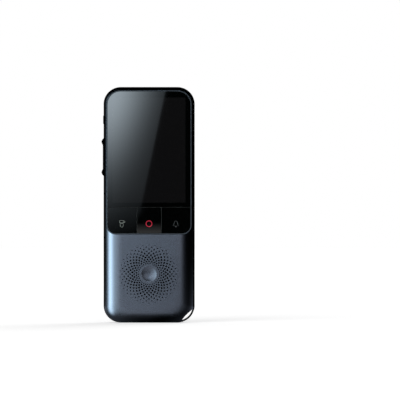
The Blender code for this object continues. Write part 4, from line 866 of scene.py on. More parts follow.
@dataclass
class StrapEye:
    """The eye for a wrist strap in the lower corner at +X: a notch closed by a bent bar."""

    form: BodyForm
    start: float = math.radians(-16.5)
    end: float = math.radians(-73.5)
    sag: float = 0.3 * MM
    thickness: float = 1.05 * MM
    depth: float = 2.2 * MM
    skin: float = 0.05 * MM
    edge: float = 0.3 * MM
    grip: float = 1.2 * MM
    wall: float = 1.0 * MM
    end_wall: float = 1.9 * MM
    steps: int = 20

    def __post_init__(self) -> None:
        """Work out the bar's place from the corner."""
        radius = self.form.corner_radius
        self.centre: Point = (self.form.half_width - radius, radius)
        self.outer = radius - self.skin
        self.inner = self.outer - self.thickness

    def outline(self, inset: float, turn: float) -> Outline:
        """The notch: an arc outside the corner and a nearly straight edge inside it.

        Args:
            inset: How much deeper its inner edge lies than the notch's own.
            turn: The angle by which it is wider at each end.

        Returns:
            The outline.
        """
        reach = self.form.corner_radius + OVERRUN
        points = arc(self.centre, reach, self.end - turn, self.start + turn, self.steps)
        middle = (self.start + self.end) / 2
        half = (self.start - self.end) / 2
        lip = self.inner - SEAT_GAP
        for step in range(self.steps + 1):
            share = 1.0 - 2.0 * step / self.steps
            chord = lip * math.cos(half) / math.cos(half * share)
            radius = chord - self.sag * (1.0 - share ** 2) - inset
            angle = middle + (half + turn) * share
            across = self.centre[0] + radius * math.cos(angle)
            points.append((across, self.centre[1] + radius * math.sin(angle)))
        return points

    def bar_outline(self, grow: float) -> Outline:
        """The bent bar between its two radii, its ends held in the shells.

        Args:
            grow: How much larger than the bar it is.

        Returns:
            The outline.
        """
        turn = (self.grip + grow) / self.inner
        start, end = self.start + turn, self.end - turn
        outside = arc(self.centre, self.outer + grow, end, start, self.steps)
        return outside + arc(self.centre, self.inner - grow, start, end, self.steps)

    def wall_solid(self) -> Piece:
        """The wall left round the notch inside the shells."""
        deep = self.form.half_depth + OVERRUN
        return plate("eye wall", self.outline(self.wall, self.end_wall / self.inner), -deep, deep)

    def cutters(self) -> list[Piece]:
        """What the eye takes out of both shells.

        Returns:
            The notch and the bar's sockets.
        """
        deep = self.form.half_depth + OVERRUN
        half = self.depth / 2 + SEAT_GAP
        return [
            plate("eye notch", self.outline(0.0, 0.0), -deep, deep),
            plate("eye sockets", self.bar_outline(SEAT_GAP), -half, half),
        ]

    def build(self) -> None:
        """The bent bar."""
        half = self.depth / 2
        bar = edged_plate(
            "strap_loop", lambda inset: self.bar_outline(-inset), -half, half, self.edge, both=True,
        )
        dress(smooth(bar), MATT_MOULDING, "housing", ["strap_bar"])


@dataclass
class Rosette:
    """The rings of small round holes over the loudspeaker, and the dish in their middle."""

    height: float
    face: float
    holes: int = 30
    first_radius: float = 6.2 * MM
    step: float = 1.182 * MM
    hole_radii: tuple[float, ...] = tuple(
        r * MM for r in (0.38, 0.47, 0.53, 0.56, 0.56, 0.53, 0.48, 0.42, 0.36, 0.26)
    )
    dish_radius: float = 4.4 * MM
    dish_depth: float = 0.35 * MM
    dish_rim: float = 0.2 * MM
    # How deep the rim's round is halfway, as a share of its width and of the bowl's slope.
    rim_share: float = 0.125
    dish_steps: int = 14

    def tree(self) -> Tree:
        """A geometry tree that adds one ring of round bars.

        Returns:
            The tree.
        """
        sizes = {name: "Float" for name in ("Ring radius", "Hole radius", "Turn", "Length")}
        tree, given = open_tree("ring of holes", {"Count": "Int", **sizes})
        ring = add_node(
            tree, "GeometryNodeMeshCircle",
            links={"Vertices": given["Count"], "Radius": given["Ring radius"]},
        )
        spin = add_node(tree, "ShaderNodeCombineXYZ", links={"Z": given["Turn"]})
        turned = add_node(
            tree, "GeometryNodeTransform",
            links={"Geometry": ring.outputs["Mesh"], "Rotation": spin.outputs["Vector"]},
        )
        bar = add_node(
            tree, "GeometryNodeMeshCylinder", values={"Vertices": HOLE_SIDES},
            links={"Radius": given["Hole radius"], "Depth": given["Length"]},
        )
        placed = add_node(
            tree, "GeometryNodeInstanceOnPoints",
            links={"Points": turned.outputs["Geometry"], "Instance": bar.outputs["Mesh"]},
        )
        return close_tree(tree, given, placed.outputs["Instances"])

    def bars(self) -> Piece:
        """All the holes, each ring turned half a pitch from the last.

        Returns:
            One cutter.
        """
        tree = self.tree()
        cutter = as_object("rosette", bpy.data.meshes.new("rosette"))
        for ring, radius in enumerate(self.hole_radii):
            run_tree(cutter, tree, {
                "Count": self.holes,
                "Ring radius": self.first_radius + ring * self.step,
                "Hole radius": radius,
                "Turn": (ring % 2) * FULL / self.holes / 2,
                "Length": WALL + 2 * OVERRUN,
                "Material": SHELL_PAINT.material(),
            })
        settle(cutter)
        toward_front = Matrix.Translation((0.0, self.face + WALL / 2, self.height))
        cutter.data.transform(toward_front @ Matrix.Rotation(QUARTER, 4, "X"))
        return cutter

    def dish(self) -> Piece:
        """The shallow bowl, with a small round at its rim, under a flat lid.

        Returns:
            One cutter.
        """
        radius, rim = self.dish_radius, self.dish_rim
        curve = (radius ** 2 + self.dish_depth ** 2) / (2 * self.dish_depth)
        rim_sag = rim * (radius / curve) * self.rim_share
        profile = [
            (0.0, OVERRUN), (radius + rim, OVERRUN), (radius + rim, 0.0), (radius + rim / 2, -rim_sag),
        ]
        for step in range(self.dish_steps + 1):
            across = (radius - rim / 2) * (1.0 - step / self.dish_steps)
            sag = math.sqrt(curve ** 2 - across ** 2) - (curve - self.dish_depth)
            profile.append((across, -sag))
        return revolve("dish", profile, (0.0, self.height), self.face, -1.0)


@dataclass
class SideKeys:
    """The volume rocker and the power key in the edge at -X, and their slots."""

    form: BodyForm
    depth: float = 3.2 * MM
    flange: float = 0.7 * MM
    flange_reach: float = 0.6 * MM
    edge: float = 0.55 * MM
    slot_steps: int = 4
    saddle: float = 0.5 * MM
    peak: float = 1.3 * MM
    power_stand: float = 0.3 * MM
    power_flat: float = 0.75
    end_drop: float = 0.45 * MM
    stations: int = 72
    # The rocker's face: (share of its half length, share of the rise from saddle to peak).
    half_shares: tuple[Point, ...] = (
        (0.0, 0.0), (0.62, 0.0), (0.70, 0.55), (0.79, 1.0), (0.88, 0.62), (1.0, -0.6),
    )

    def __post_init__(self) -> None:
        """Take the keys' places from the frame."""
        self.places: dict[str, tuple[float, float, float]] = {}
        for node in ("volume_rocker", "power_key"):
            low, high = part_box(node)
            reach = (high.z - low.z) / 2 - self.flange_reach
            self.places[node] = ((low.z + high.z) / 2, reach, high.x)

    def slots(self) -> list[Piece]:
        """The slots through the shells' edge.

        Returns:
            A cutter for each key.
        """
        half = self.depth / 2 + SLIDE_GAP
        outside = -(self.form.half_width + OVERRUN)
        inside = -(self.form.half_width - WALL - OVERRUN)
        made = []
        for node, (height, reach, _) in self.places.items():
            reach += SLIDE_GAP
            radii = (self.edge / 2,) * 4
            outline = rounded(-half, half, height - reach, height + reach, radii, self.slot_steps)
            rings = [[Vector((x, y, z)) for y, z in outline] for x in (outside, inside)]
            made.append(loft(node + " slot", rings))
        return made

    def rocker_rise(self, share: float) -> float:
        """How far the rocker's face stands out of the shells' edge.

        Args:
            share: The place along the key, from -1 at its lower end to 1 at its upper end.

        Returns:
            The distance.
        """
        share = abs(share)
        for (start, low), (end, high) in zip(self.half_shares, self.half_shares[1:]):
            if share <= end:
                part = (share - start) / (end - start)
                eased = (1.0 - math.cos(part * math.pi)) / 2
                return self.saddle + (self.peak - self.saddle) * (low + (high - low) * eased)
        return self.saddle

    def power_rise(self, share: float) -> float:
        """The power key's face: flat, with soft ends."""
        bend = max(0.0, (abs(share) - self.power_flat) / (1.0 - self.power_flat))
        return self.power_stand - self.end_drop * (1.0 - math.sqrt(1.0 - bend ** 2))

    def section(self, height: float, face: float, back: float) -> Ring:
        """A cross-section of a key: flat inside, with soft outer edges.

        Args:
            height: Where it is.
            face: Where its outer face is, across.
            back: Where its inner face is, across.

        Returns:
            Its ring of points.
        """
        half = self.depth / 2
        edge = self.edge
        lower = arc((face + edge, -half + edge), edge, math.pi, 3 * QUARTER, EDGE_STEPS)
        upper = arc((face + edge, half - edge), edge, QUARTER, math.pi, EDGE_STEPS)
        return at_height([*upper, *lower, (back, -half), (back, half)], height)

    def key(self, name: str, node: str, rise: Callable[[float], float]) -> Piece:
        """A key with its shaped face outside and its flange inside.

        Args:
            name: The key's name.
            node: The frame's node that it stands for.
            rise: How far its face stands out at a place along it.

        Returns:
            The key.
        """
        height, reach, back = self.places[node]
        front = back - self.flange
        rings = []
        for station in range(self.stations + 1):
            share = 2.0 * station / self.stations - 1.0
            face = -(self.form.half_width + rise(share))
            rings.append(self.section(height + share * reach, face, front))
        half = self.depth / 2
        outline = [(front, -half), (back, -half), (back, half), (front, half)]
        ends = (height - reach - self.flange_reach, height + reach + self.flange_reach)
        flange = loft(node + " flange", [at_height(outline, end) for end in ends])
        return smooth(combine(loft(name, rings), [flange], "UNION"))

    def build(self) -> None:
        """Both keys, each on its own body."""
        rocker = self.key("volume_key", "volume_rocker", self.rocker_rise)
        dress(rocker, GLOSS_MOULDING, "volume_keys", ["volume_rocker"])
        power = self.key("power_button_cap", "power_key", self.power_rise)
        dress(power, GLOSS_MOULDING, "power_button", ["power_key"])


@dataclass
class ChargingPort:
    """The charging socket in the lower end, with its contacts, and the microphone holes."""

    height: float
    width: float = 8.94 * MM
    thickness: float = 3.26 * MM
    wall: float = 0.3 * MM
    lip: float = 0.12 * MM
    hole_radius: float = 0.6 * MM
    contacts: int = 12
    contact_pitch: float = 0.5 * MM
    contact_width: float = 0.25 * MM
    contact_length: float = 3.4 * MM
    contact_stand: float = 0.03 * MM
    tongue_half: float = 0.35 * MM

    def openings(self) -> list[Piece]:
        """The port and the two microphone holes, shared by both shells.

        Returns:
            A cutter for each.
        """
        outline = stadium(self.width + 2 * SLIDE_GAP, self.thickness + 2 * SLIDE_GAP)
        made = [loft("port", [at_height(outline, h) for h in (-OVERRUN, WALL + OVERRUN)])]
        upper_low = self.height - WALL - OVERRUN
        for node, low in (("lower_microphone", -OVERRUN), ("upper_microphone", upper_low)):
            near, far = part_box(node)
            outline = circle(self.hole_radius, ((near.x + far.x) / 2, 0.0), BORE_STEPS)
            high = low + WALL + 2 * OVERRUN
            made.append(loft(node + " hole", [at_height(outline, h) for h in (low, high)]))
        return made

    def shell(self) -> None:
        """The steel shell with a rolled lip at its mouth."""
        low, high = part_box("usb_shell")
        rows = [(-self.lip, low.z), (0.0, low.z + self.lip), (0.0, high.z)]
        rings = [
            at_height(stadium(self.width + 2 * grow, self.thickness + 2 * grow), height)
            for grow, height in rows
        ]
        shell = loft("charging_shell", rings)
        inner = (self.width - 2 * self.wall, self.thickness - 2 * self.wall)
        bore = [at_height(stadium(*inner), h) for h in (low.z - OVERRUN, high.z - self.wall)]
        combine(shell, [loft("bore", bore)])
        dress(smooth(shell), STAINLESS, "housing", ["usb_shell"])

    def contact_tree(self) -> Tree:
        """A geometry tree that adds a row of flat contacts.

        Returns:
            The tree.
        """
        places = {name: "Vector" for name in ("Start", "Step", "Size")}
        tree, given = open_tree("row of contacts", {"Count": "Int", **places})
        row = add_node(
            tree, "GeometryNodeMeshLine",
            links={"Count": given["Count"], "Start Location": given["Start"], "Offset": given["Step"]},
        )
        block = add_node(tree, "GeometryNodeMeshCube", links={"Size": given["Size"]})
        placed = add_node(
            tree, "GeometryNodeInstanceOnPoints",
            links={"Points": row.outputs["Mesh"], "Instance": block.outputs["Mesh"]},
        )
        return close_tree(tree, given, placed.outputs["Instances"])

    def contact_rows(self) -> None:
        """The contacts on both faces of the tongue, half sunk in it."""
        low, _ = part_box("usb_tongue")
        tree = self.contact_tree()
        rows = as_object("charging_contacts", bpy.data.meshes.new("charging_contacts"))
        first = -(self.contacts - 1) * self.contact_pitch / 2
        middle = low.z + self.contact_width + self.contact_length / 2
        for side in (-1, 1):
            run_tree(rows, tree, {
                "Count": self.contacts,
                "Start": (first, side * self.tongue_half, middle),
                "Step": (self.contact_pitch, 0.0, 0.0),
                "Size": (self.contact_width, 2 * self.contact_stand, self.contact_length),
                "Material": GOLD.material(),
            })
        settle(rows)
        dress(rows, GOLD, "housing")

    def build(self) -> None:
        """The socket's shell and contacts."""
        self.shell()
        self.contact_rows()


@dataclass
class CameraIsland:
    """The raised oval window on the back, with the camera and the flash in it."""

    form: BodyForm
    length: float = 30.793 * MM
    width: float = 11.0 * MM
    trim_width: float = 0.4 * MM
    rim: float = 0.3 * MM
    slope: float = 0.7 * MM
    rise: float = 0.9 * MM
    edge: float = 0.25 * MM
    ring_edge: float = 0.12 * MM
    barrel_radius: float = 2.9 * MM
    slope_steps: int = 8
    # The lens's stepped rings: (share of its radius, how deep).
    lens_rings: tuple[Point, ...] = (
        (1.0, 0.0), (0.86, 0.28 * MM), (0.80, 0.28 * MM), (0.72, 0.62 * MM), (0.64, 0.62 * MM),
    )

    def __post_init__(self) -> None:
        """Take the window's, the camera's and the flash's places from the frame."""
        low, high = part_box("camera_window")
        self.up = (low.z + high.z) / 2
        self.front, self.face = low.y, high.y
        self.top = self.form.half_depth + self.rise
        self.holes: dict[str, tuple[float, float, float, float]] = {}
        for node in ("camera_ring", "camera_lens", "flash_lens"):
            low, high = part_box(node)
            self.holes[node] = ((low.x + high.x) / 2, (high.x - low.x) / 2, low.y, high.y)

    def oval(self, grow: float) -> Outline:
        """The window's outline, grown all round."""
        return stadium(self.length + 2 * grow, self.width + 2 * grow, (0.0, self.up))

    def plinth(self) -> Piece:
        """The raised mount, its sides curving down to the back.

        Returns:
            The mount as a solid.
        """
        rim = 2 * INLAY_GAP + self.trim_width + self.rim
        rings = [at_depth(self.oval(rim + self.slope), self.form.half_depth - WALL / 2)]
        for step in range(self.slope_steps + 1):
            turn = step / self.slope_steps * QUARTER
            rings.append(at_depth(
                self.oval(rim + self.slope * math.cos(turn)),
                self.form.half_depth + self.rise * math.sin(turn),
            ))
        return loft("plinth", rings)

    def cutters(self) -> list[Piece]:
        """The recess for the window and the holes through its floor.

        Returns:
            A cutter for each.
        """
        grow = self.trim_width + 2 * INLAY_GAP
        made = [plate("recess", self.oval(grow), self.front - SEAT_GAP, self.top + OVERRUN)]
        camera, flash = self.holes["camera_ring"][0], self.holes["flash_lens"]
        low = self.form.half_depth - WALL - OVERRUN
        for across, radius in ((camera, self.barrel_radius), flash[:2]):
            outline = circle(radius + SEAT_GAP, (across, self.up))
            made.append(plate("island hole", outline, low, self.front))
        return made

    def build(self) -> None:
        """The window, its rim, the camera's ring and lens, and the flash's cover."""
        window = edged_plate(
            "camera_glass", lambda inset: self.oval(-inset), self.face, self.front, self.edge,
        )
        holes = []
        for node in ("camera_ring", "flash_lens"):
            across, radius, _, _ = self.holes[node]
            outline = circle(radius + INLAY_GAP, (across, self.up))
            holes.append(plate(node + " hole", outline, self.front - OVERRUN, self.face + OVERRUN))
        combine(window, holes)
        dress(smooth(window), WINDOW_GLASS, "housing", ["camera_window"])
        self.window_rim()
        self.camera_front()
        self.flash_cover()

    def window_rim(self) -> None:
        """The thin metal rim round the window."""
        _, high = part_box("window_trim")
        rim = edged_plate(
            "window_rim", lambda inset: self.oval(INLAY_GAP + self.trim_width - inset),
            high.y, self.front, self.ring_edge,
        )
        inside = plate("rim inside", self.oval(INLAY_GAP), self.front - OVERRUN, high.y + OVERRUN)
        combine(rim, [inside])
        dress(smooth(rim), DARK_ANODISED, "housing", ["window_trim"])

    def camera_front(self) -> None:
        """The camera's ring, and its lens with two steps down to a domed middle."""
        across, radius, low, high = self.holes["camera_ring"]
        lens_across, lens_radius, lens_low, lens_high = self.holes["camera_lens"]
        inner = lens_radius + INLAY_GAP
        edge = self.ring_edge
        profile = [
            (radius, 0.0), (radius, high - low - edge), (radius - edge, high - low),
            (inner + edge, high - low), (inner, high - low - edge), (inner, 0.0),
        ]
        ring = revolve("camera_bezel", profile, (across, self.up), low, 1.0)
        dress(smooth(ring), DARK_ANODISED, "housing", ["camera_ring"])
        tall = lens_high - lens_low
        profile = [(0.0, 0.0), (lens_radius, 0.0)]
        profile += [(lens_radius * share, tall - drop) for share, drop in self.lens_rings]
        first_drop = self.lens_rings[1][1]
        pupil, drop = self.lens_rings[-1]
        for step in range(EDGE_STEPS + 1):
            turn = step / EDGE_STEPS * QUARTER
            rise = (drop - first_drop) * math.sin(turn)
            profile.append((lens_radius * pupil * math.cos(turn), tall - drop + rise))
        profile[-1] = (0.0, profile[-1][1])
        lens = revolve("lens_front", profile, (lens_across, self.up), lens_low, 1.0)
        dress(smooth(lens), COATED_LENS, "housing", ["camera_lens"])

    def flash_cover(self) -> None:
        """The flash's round diffuser with a softened edge."""
        across, radius, low, high = self.holes["flash_lens"]
        cover = edged_plate(
            "flash_cover", lambda inset: circle(radius - inset, (across, self.up)), high, low,
            self.ring_edge,
        )
        dress(smooth(cover), DIFFUSER, "housing", ["flash_lens"])


@dataclass
class FrontPanel:
    """The flat black panel on the front: its frame, trim line and printed cover glass."""

    form: BodyForm
    top_radius: float = 8.1 * MM
    bottom_radius: float = 5.3 * MM
    tray_wall: float = 1.0 * MM
    floor: float = 1.0 * MM
    floor_gap: float = 1.9 * MM
    trim_width: float = 0.5 * MM
    trim_edge: float = 0.08 * MM
    trim_skin: float = 0.005 * MM
    glass_thickness: float = 1.0 * MM
    glass_edge: float = 0.07 * MM
    seam_radius: float = 0.4 * MM
    key_step: float = 0.1 * MM
    ledge: float = 0.8 * MM
    window_gap: float = 0.3 * MM
    flex_room: float = 1.0 * MM
    mat_corner: float = 0.6 * MM

    def __post_init__(self) -> None:
        """Take the panel's extent from the frame."""
        low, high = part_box("panel_trim")
        self.half, self.low, self.high = high.x, low.z, high.z
        self.trim_front, self.trim_back = low.y, high.y
        glass_low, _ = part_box("cover_glass")
        self.face = glass_low.y
        self.glass_low = glass_low.z
        self.display_low, self.display_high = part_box("display_panel")
        frame_low, frame_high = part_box("panel_frame")
        self.frame_front, self.frame_back = frame_low.y, frame_high.y

    def outline(self, grow: float) -> Outline:
        """The panel's outline.

        Args:
            grow: How much larger than the panel it is, all round.

        Returns:
            The outline.
        """
        half = self.half + grow
        lower, upper = self.bottom_radius + grow, self.top_radius + grow
        return rounded(-half, half, self.low - grow, self.high + grow, (lower, upper, upper, lower))

    def tray(self) -> Piece:
        """The tray that the front shell keeps round the panel."""
        outline = self.outline(SEAT_GAP + self.tray_wall)
        return plate("panel tray", outline, -(self.form.half_depth + OVERRUN), -self.floor_gap)

    def pocket(self) -> Piece:
        """The pocket in the front shell that holds the panel."""
        front = -(self.form.half_depth + OVERRUN)
        return plate("panel pocket", self.outline(SEAT_GAP), front, -(self.floor_gap + self.floor))

    def glass_outline(self, shrink: float) -> Outline:
        """The cover glass, nearly square along the seam with the keys.

        Args:
            shrink: How much smaller than the glass it is, all round.

        Returns:
            The outline.
        """
        inset = self.trim_width + INLAY_GAP + shrink
        half = self.half - inset
        upper = self.top_radius - inset
        seam = (self.seam_radius, upper, upper, self.seam_radius)
        return rounded(-half, half, self.glass_low + shrink, self.high - inset, seam)

    def build(self) -> None:
        """The frame, the trim line and the glass."""
        self.bezel()
        trim = edged_plate(
            "trim_line", lambda inset: self.outline(-inset), self.trim_front, self.trim_back,
            self.trim_edge,
        )
        inner = edged_plate(
            "trim inside", lambda inset: self.outline(self.trim_edge - self.trim_width - inset),
            self.trim_front - self.trim_skin, self.trim_back + OVERRUN, self.trim_edge,
        )
        combine(trim, [inner])
        dress(smooth(trim), SMOKED_CHROME, "housing", ["panel_trim"])
        back = self.face + self.glass_thickness
        glass = edged_plate("front_glass", self.glass_outline, self.face, back, self.glass_edge)
        window = (self.display_low.x, self.display_high.x, self.display_low.z, self.display_high.z)
        finish = replace(COVER_GLASS, window=window)
        dress(smooth(glass), finish, "housing", ["cover_glass"])

    def bezel(self) -> None:
        """The black frame that carries the glass, the display and the keys."""
        bezel = plate("panel_bezel", self.outline(0.0), self.frame_front, self.frame_back)
        inside = self.outline(-self.trim_width)
        ledge = self.face + self.glass_thickness + 2 * SEAT_GAP + self.window_gap
        gap = self.window_gap
        half = self.display_high.x + gap
        corners = (self.seam_radius,) * 4
        display = rounded(
            -half, half, self.display_low.z - self.flex_room, self.display_high.z + gap, corners,
        )
        step = self.trim_width + self.key_step
        lower = self.bottom_radius - step
        keys = rounded(
            step - self.half, self.half - step, self.low + step, self.glass_low - self.ledge,
            (lower, self.mat_corner, self.mat_corner, lower),
        )
        front, back = self.frame_front - OVERRUN, self.frame_back + OVERRUN
        cuts = [
            plate("bezel recess", inside, front, ledge),
            plate("bezel display window", display, front, back),
            plate("bezel key window", keys, front, back),
        ]
        combine(bezel, cuts)
        dress(smooth(bezel), MATT_MOULDING, "housing", ["panel_frame"])


@dataclass
class KeyRow:
    """The three press keys under the display, the red ring and the two printed marks."""

    panel: FrontPanel
    edge: float = 0.04 * MM
    corner: float = 0.3 * MM
    least_corner: float = 0.1 * MM
    thickness: float = 0.9 * MM
    stem_radius: float = 1.6 * MM
    centre_dip: float = 0.08 * MM
    dip_power: int = 3
    dip_rows: int = 24
    ring_width: float = 0.36 * MM
    ring_edge: float = 0.06 * MM
    groove_width: float = 0.45 * MM
    groove_depth: float = 0.5 * MM
    line: float = 0.15 * MM
    line_sides: int = 8
    mark_stand: float = 0.02 * MM
    mark_steps: int = 6
    # The left mark, about its key's middle.
    head: Bounds = (-1.6 * MM, 1.1 * MM, 0.55 * MM, 1.85 * MM)
    head_radius: float = 0.5 * MM
    body: Bounds = (-1.15 * MM, 0.65 * MM, -1.95 * MM, 0.15 * MM)
    body_foot: float = 0.85 * MM
    body_top: float = 0.2 * MM
    dot_radius: float = 0.25 * MM
    dot_centre: Point = (1.5 * MM, 0.9 * MM)
    # The right mark, about its key's middle.
    dome_radius: float = 0.85 * MM
    dome_centre: Point = (0.0, 0.75 * MM)
    dome_ends: Point = (0.1 * math.pi, 0.9 * math.pi)
    dome_steps: int = 10
    skirt: tuple[Point, ...] = (
        (-1.2 * MM, -0.6 * MM), (-1.75 * MM, -1.25 * MM), (1.75 * MM, -1.25 * MM),
        (1.2 * MM, -0.6 * MM),
    )
    clapper_radius: float = 0.3 * MM
    clapper_centre: Point = (0.0, -1.75 * MM)

    def __post_init__(self) -> None:
        """Take the keys' boxes from the frame."""
        self.boxes = {side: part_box("key_" + side) for side in ("left", "centre", "right")}
        low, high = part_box("record_ring")
        self.up = (low.z + high.z) / 2
        self.ring_radius = (high.x - low.x) / 2
        self.ring_front, self.ring_back = low.y, high.y

    def cap(self, side: str) -> Piece:
        """One cap with its stem.

        Args:
            side: Which key.

        Returns:
            The cap, its lower outer corner following the panel's.
        """
        low, high = self.boxes[side]
        big = self.panel.bottom_radius - self.panel.trim_width - SLIDE_GAP
        radii = [self.corner] * 4
        if side == "right":
            radii[0] = big
        if side == "left":
            radii[3] = big

        def outline_at(inset: float) -> Outline:
            """The cap's outline, shrunk."""
            bounds = (low.x + inset, high.x - inset, low.z + inset, high.z - inset)
            return rounded(*bounds, [max(r - inset, self.least_corner) for r in radii])

        cap = edged_plate(side + "_cap", outline_at, low.y, low.y + self.thickness, self.edge)
        middle = (low.x + high.x) / 2
        round_stem = circle(self.stem_radius, (middle, self.up), BORE_STEPS)
        stem = plate("stem", round_stem, low.y + self.thickness / 2, high.y)
        return combine(cap, [stem], "UNION")

    def lean(self, cap: Piece) -> None:
        """Let the centre key's face fall away a little towards its lower edge, in flat slices.

        Args:
            cap: The centre key's cap, whose mesh is changed.
        """
        low, high = self.boxes["centre"]
        built = bmesh.new()
        built.from_mesh(cap.data)
        for row in range(1, self.dip_rows):
            level = Vector((0.0, 0.0, low.z + (high.z - low.z) * row / self.dip_rows))
            everything = [*built.verts, *built.edges, *built.faces]
            bmesh.ops.bisect_plane(built, geom=everything, plane_co=level, plane_no=(0.0, 0.0, 1.0))
        for vertex in built.verts:
            if vertex.co.y < low.y + self.thickness / 2:
                part, start = math.modf((high.z - vertex.co.z) / (high.z - low.z) * self.dip_rows)
                shares = (row / self.dip_rows for row in (start, start + 1))
                before, after = (share ** self.dip_power for share in shares)
                vertex.co.y += self.centre_dip * (before + (after - before) * part)
        built.to_mesh(cap.data)
        built.free()

    def build(self) -> None:
        """The caps, the ring and the marks."""
        for side in self.boxes:
            cap = self.cap(side)
            if side == "centre":
                outer = self.ring_radius + INLAY_GAP
                inner, deep = self.ring_radius - self.groove_width, self.groove_depth
                groove = [(outer, -OVERRUN), (outer, deep), (inner, deep), (inner, -OVERRUN)]
                combine(cap, [revolve("groove", groove, (0.0, self.up), self.ring_front, 1.0)])
                self.lean(cap)
            dress(smooth(cap), GLOSS_MOULDING, side + "_key", ["key_" + side])
        self.ring()
        # Both marks' prints glow a little: painted light that makes them read lighter.
        self.mark("left", self.left_mark(), PALE_PRINT_WITH_PAINTED_LIGHT)
        self.mark("right", self.right_mark(), DARK_PRINT_WITH_PAINTED_LIGHT)

    def ring(self) -> None:
        """The red light guide let into the centre key."""
        radius, tall = self.ring_radius, self.ring_back - self.ring_front
        edge = self.ring_edge
        inner = radius - self.ring_width
        profile = [
            (radius, 0.0), (radius, tall - edge), (radius - edge, tall), (inner + edge, tall),
            (inner, tall - edge), (inner, 0.0),
        ]
        ring = revolve("record_light", profile, (0.0, self.up), self.ring_back, -1.0)
        dress(smooth(ring), RED_GUIDE, "centre_key", ["record_ring"])

    def left_mark(self) -> list[Outline]:
        """A plain mark: a wide rounded head over a round-footed body, and a dot beside them.

        Returns:
            Its closed lines.
        """
        head = rounded(*self.head, (self.head_radius,) * 4, self.mark_steps)
        foot, top = self.body_foot, self.body_top
        body = rounded(*self.body, (foot, top, top, foot), self.mark_steps)
        return [head, body, circle(self.dot_radius, self.dot_centre, 2 * self.mark_steps)]

    def right_mark(self) -> list[Outline]:
        """A plain bell-like mark: a dome that widens to a skirt, and a clapper under it.

        Returns:
            Its closed lines.
        """
        dome = arc(self.dome_centre, self.dome_radius, *self.dome_ends, self.dome_steps)
        clapper = circle(self.clapper_radius, self.clapper_centre, 2 * self.mark_steps)
        return [[*dome, *self.skirt], clapper]

    def mark(self, side: str, lines: list[Outline], finish: Finish) -> None:
        """A printed mark of thin lines, standing a hair above its key.

        Args:
            side: Which key carries it.
            lines: Its closed lines, about its middle.
            finish: The ink.
        """
        low, high = self.boxes[side]
        middle = (low.x + high.x) / 2
        path = bmesh.new()
        for line in lines:
            points = [path.verts.new((middle + across, 0.0, self.up + up)) for across, up in line]
            for point, following in zip(points, [*points[1:], points[0]]):
                path.edges.new((point, following))
        drawn = from_bmesh(side + "_mark", path)
        run_tree(drawn, self.line_tree(), {"Radius": self.line / 2, "Material": finish.material()})
        settle(drawn)
        flatten = Matrix.Diagonal((1.0, 2 * self.mark_stand / self.line, 1.0, 1.0))
        drawn.data.transform(Matrix.Translation((0.0, low.y, 0.0)) @ flatten)
        dress(smooth(drawn), finish, side + "_key")

    def line_tree(self) -> Tree:
        """A geometry tree that sweeps a round line along the edges that come in.

        Returns:
            The tree.
        """
        tree, given = open_tree("swept line", {"Radius": "Float"})
        path = add_node(tree, "GeometryNodeMeshToCurve", links={"Mesh": given["Geometry"]})
        section = add_node(
            tree, "GeometryNodeCurvePrimitiveCircle", values={"Resolution": self.line_sides},
            links={"Radius": given["Radius"]},
        )
        swept = add_node(
            tree, "GeometryNodeCurveToMesh",
            links={"Curve": path.outputs["Curve"], "Profile Curve": section.outputs["Curve"]},
        )
        return close_tree(tree, given, swept.outputs["Mesh"], keep=False)


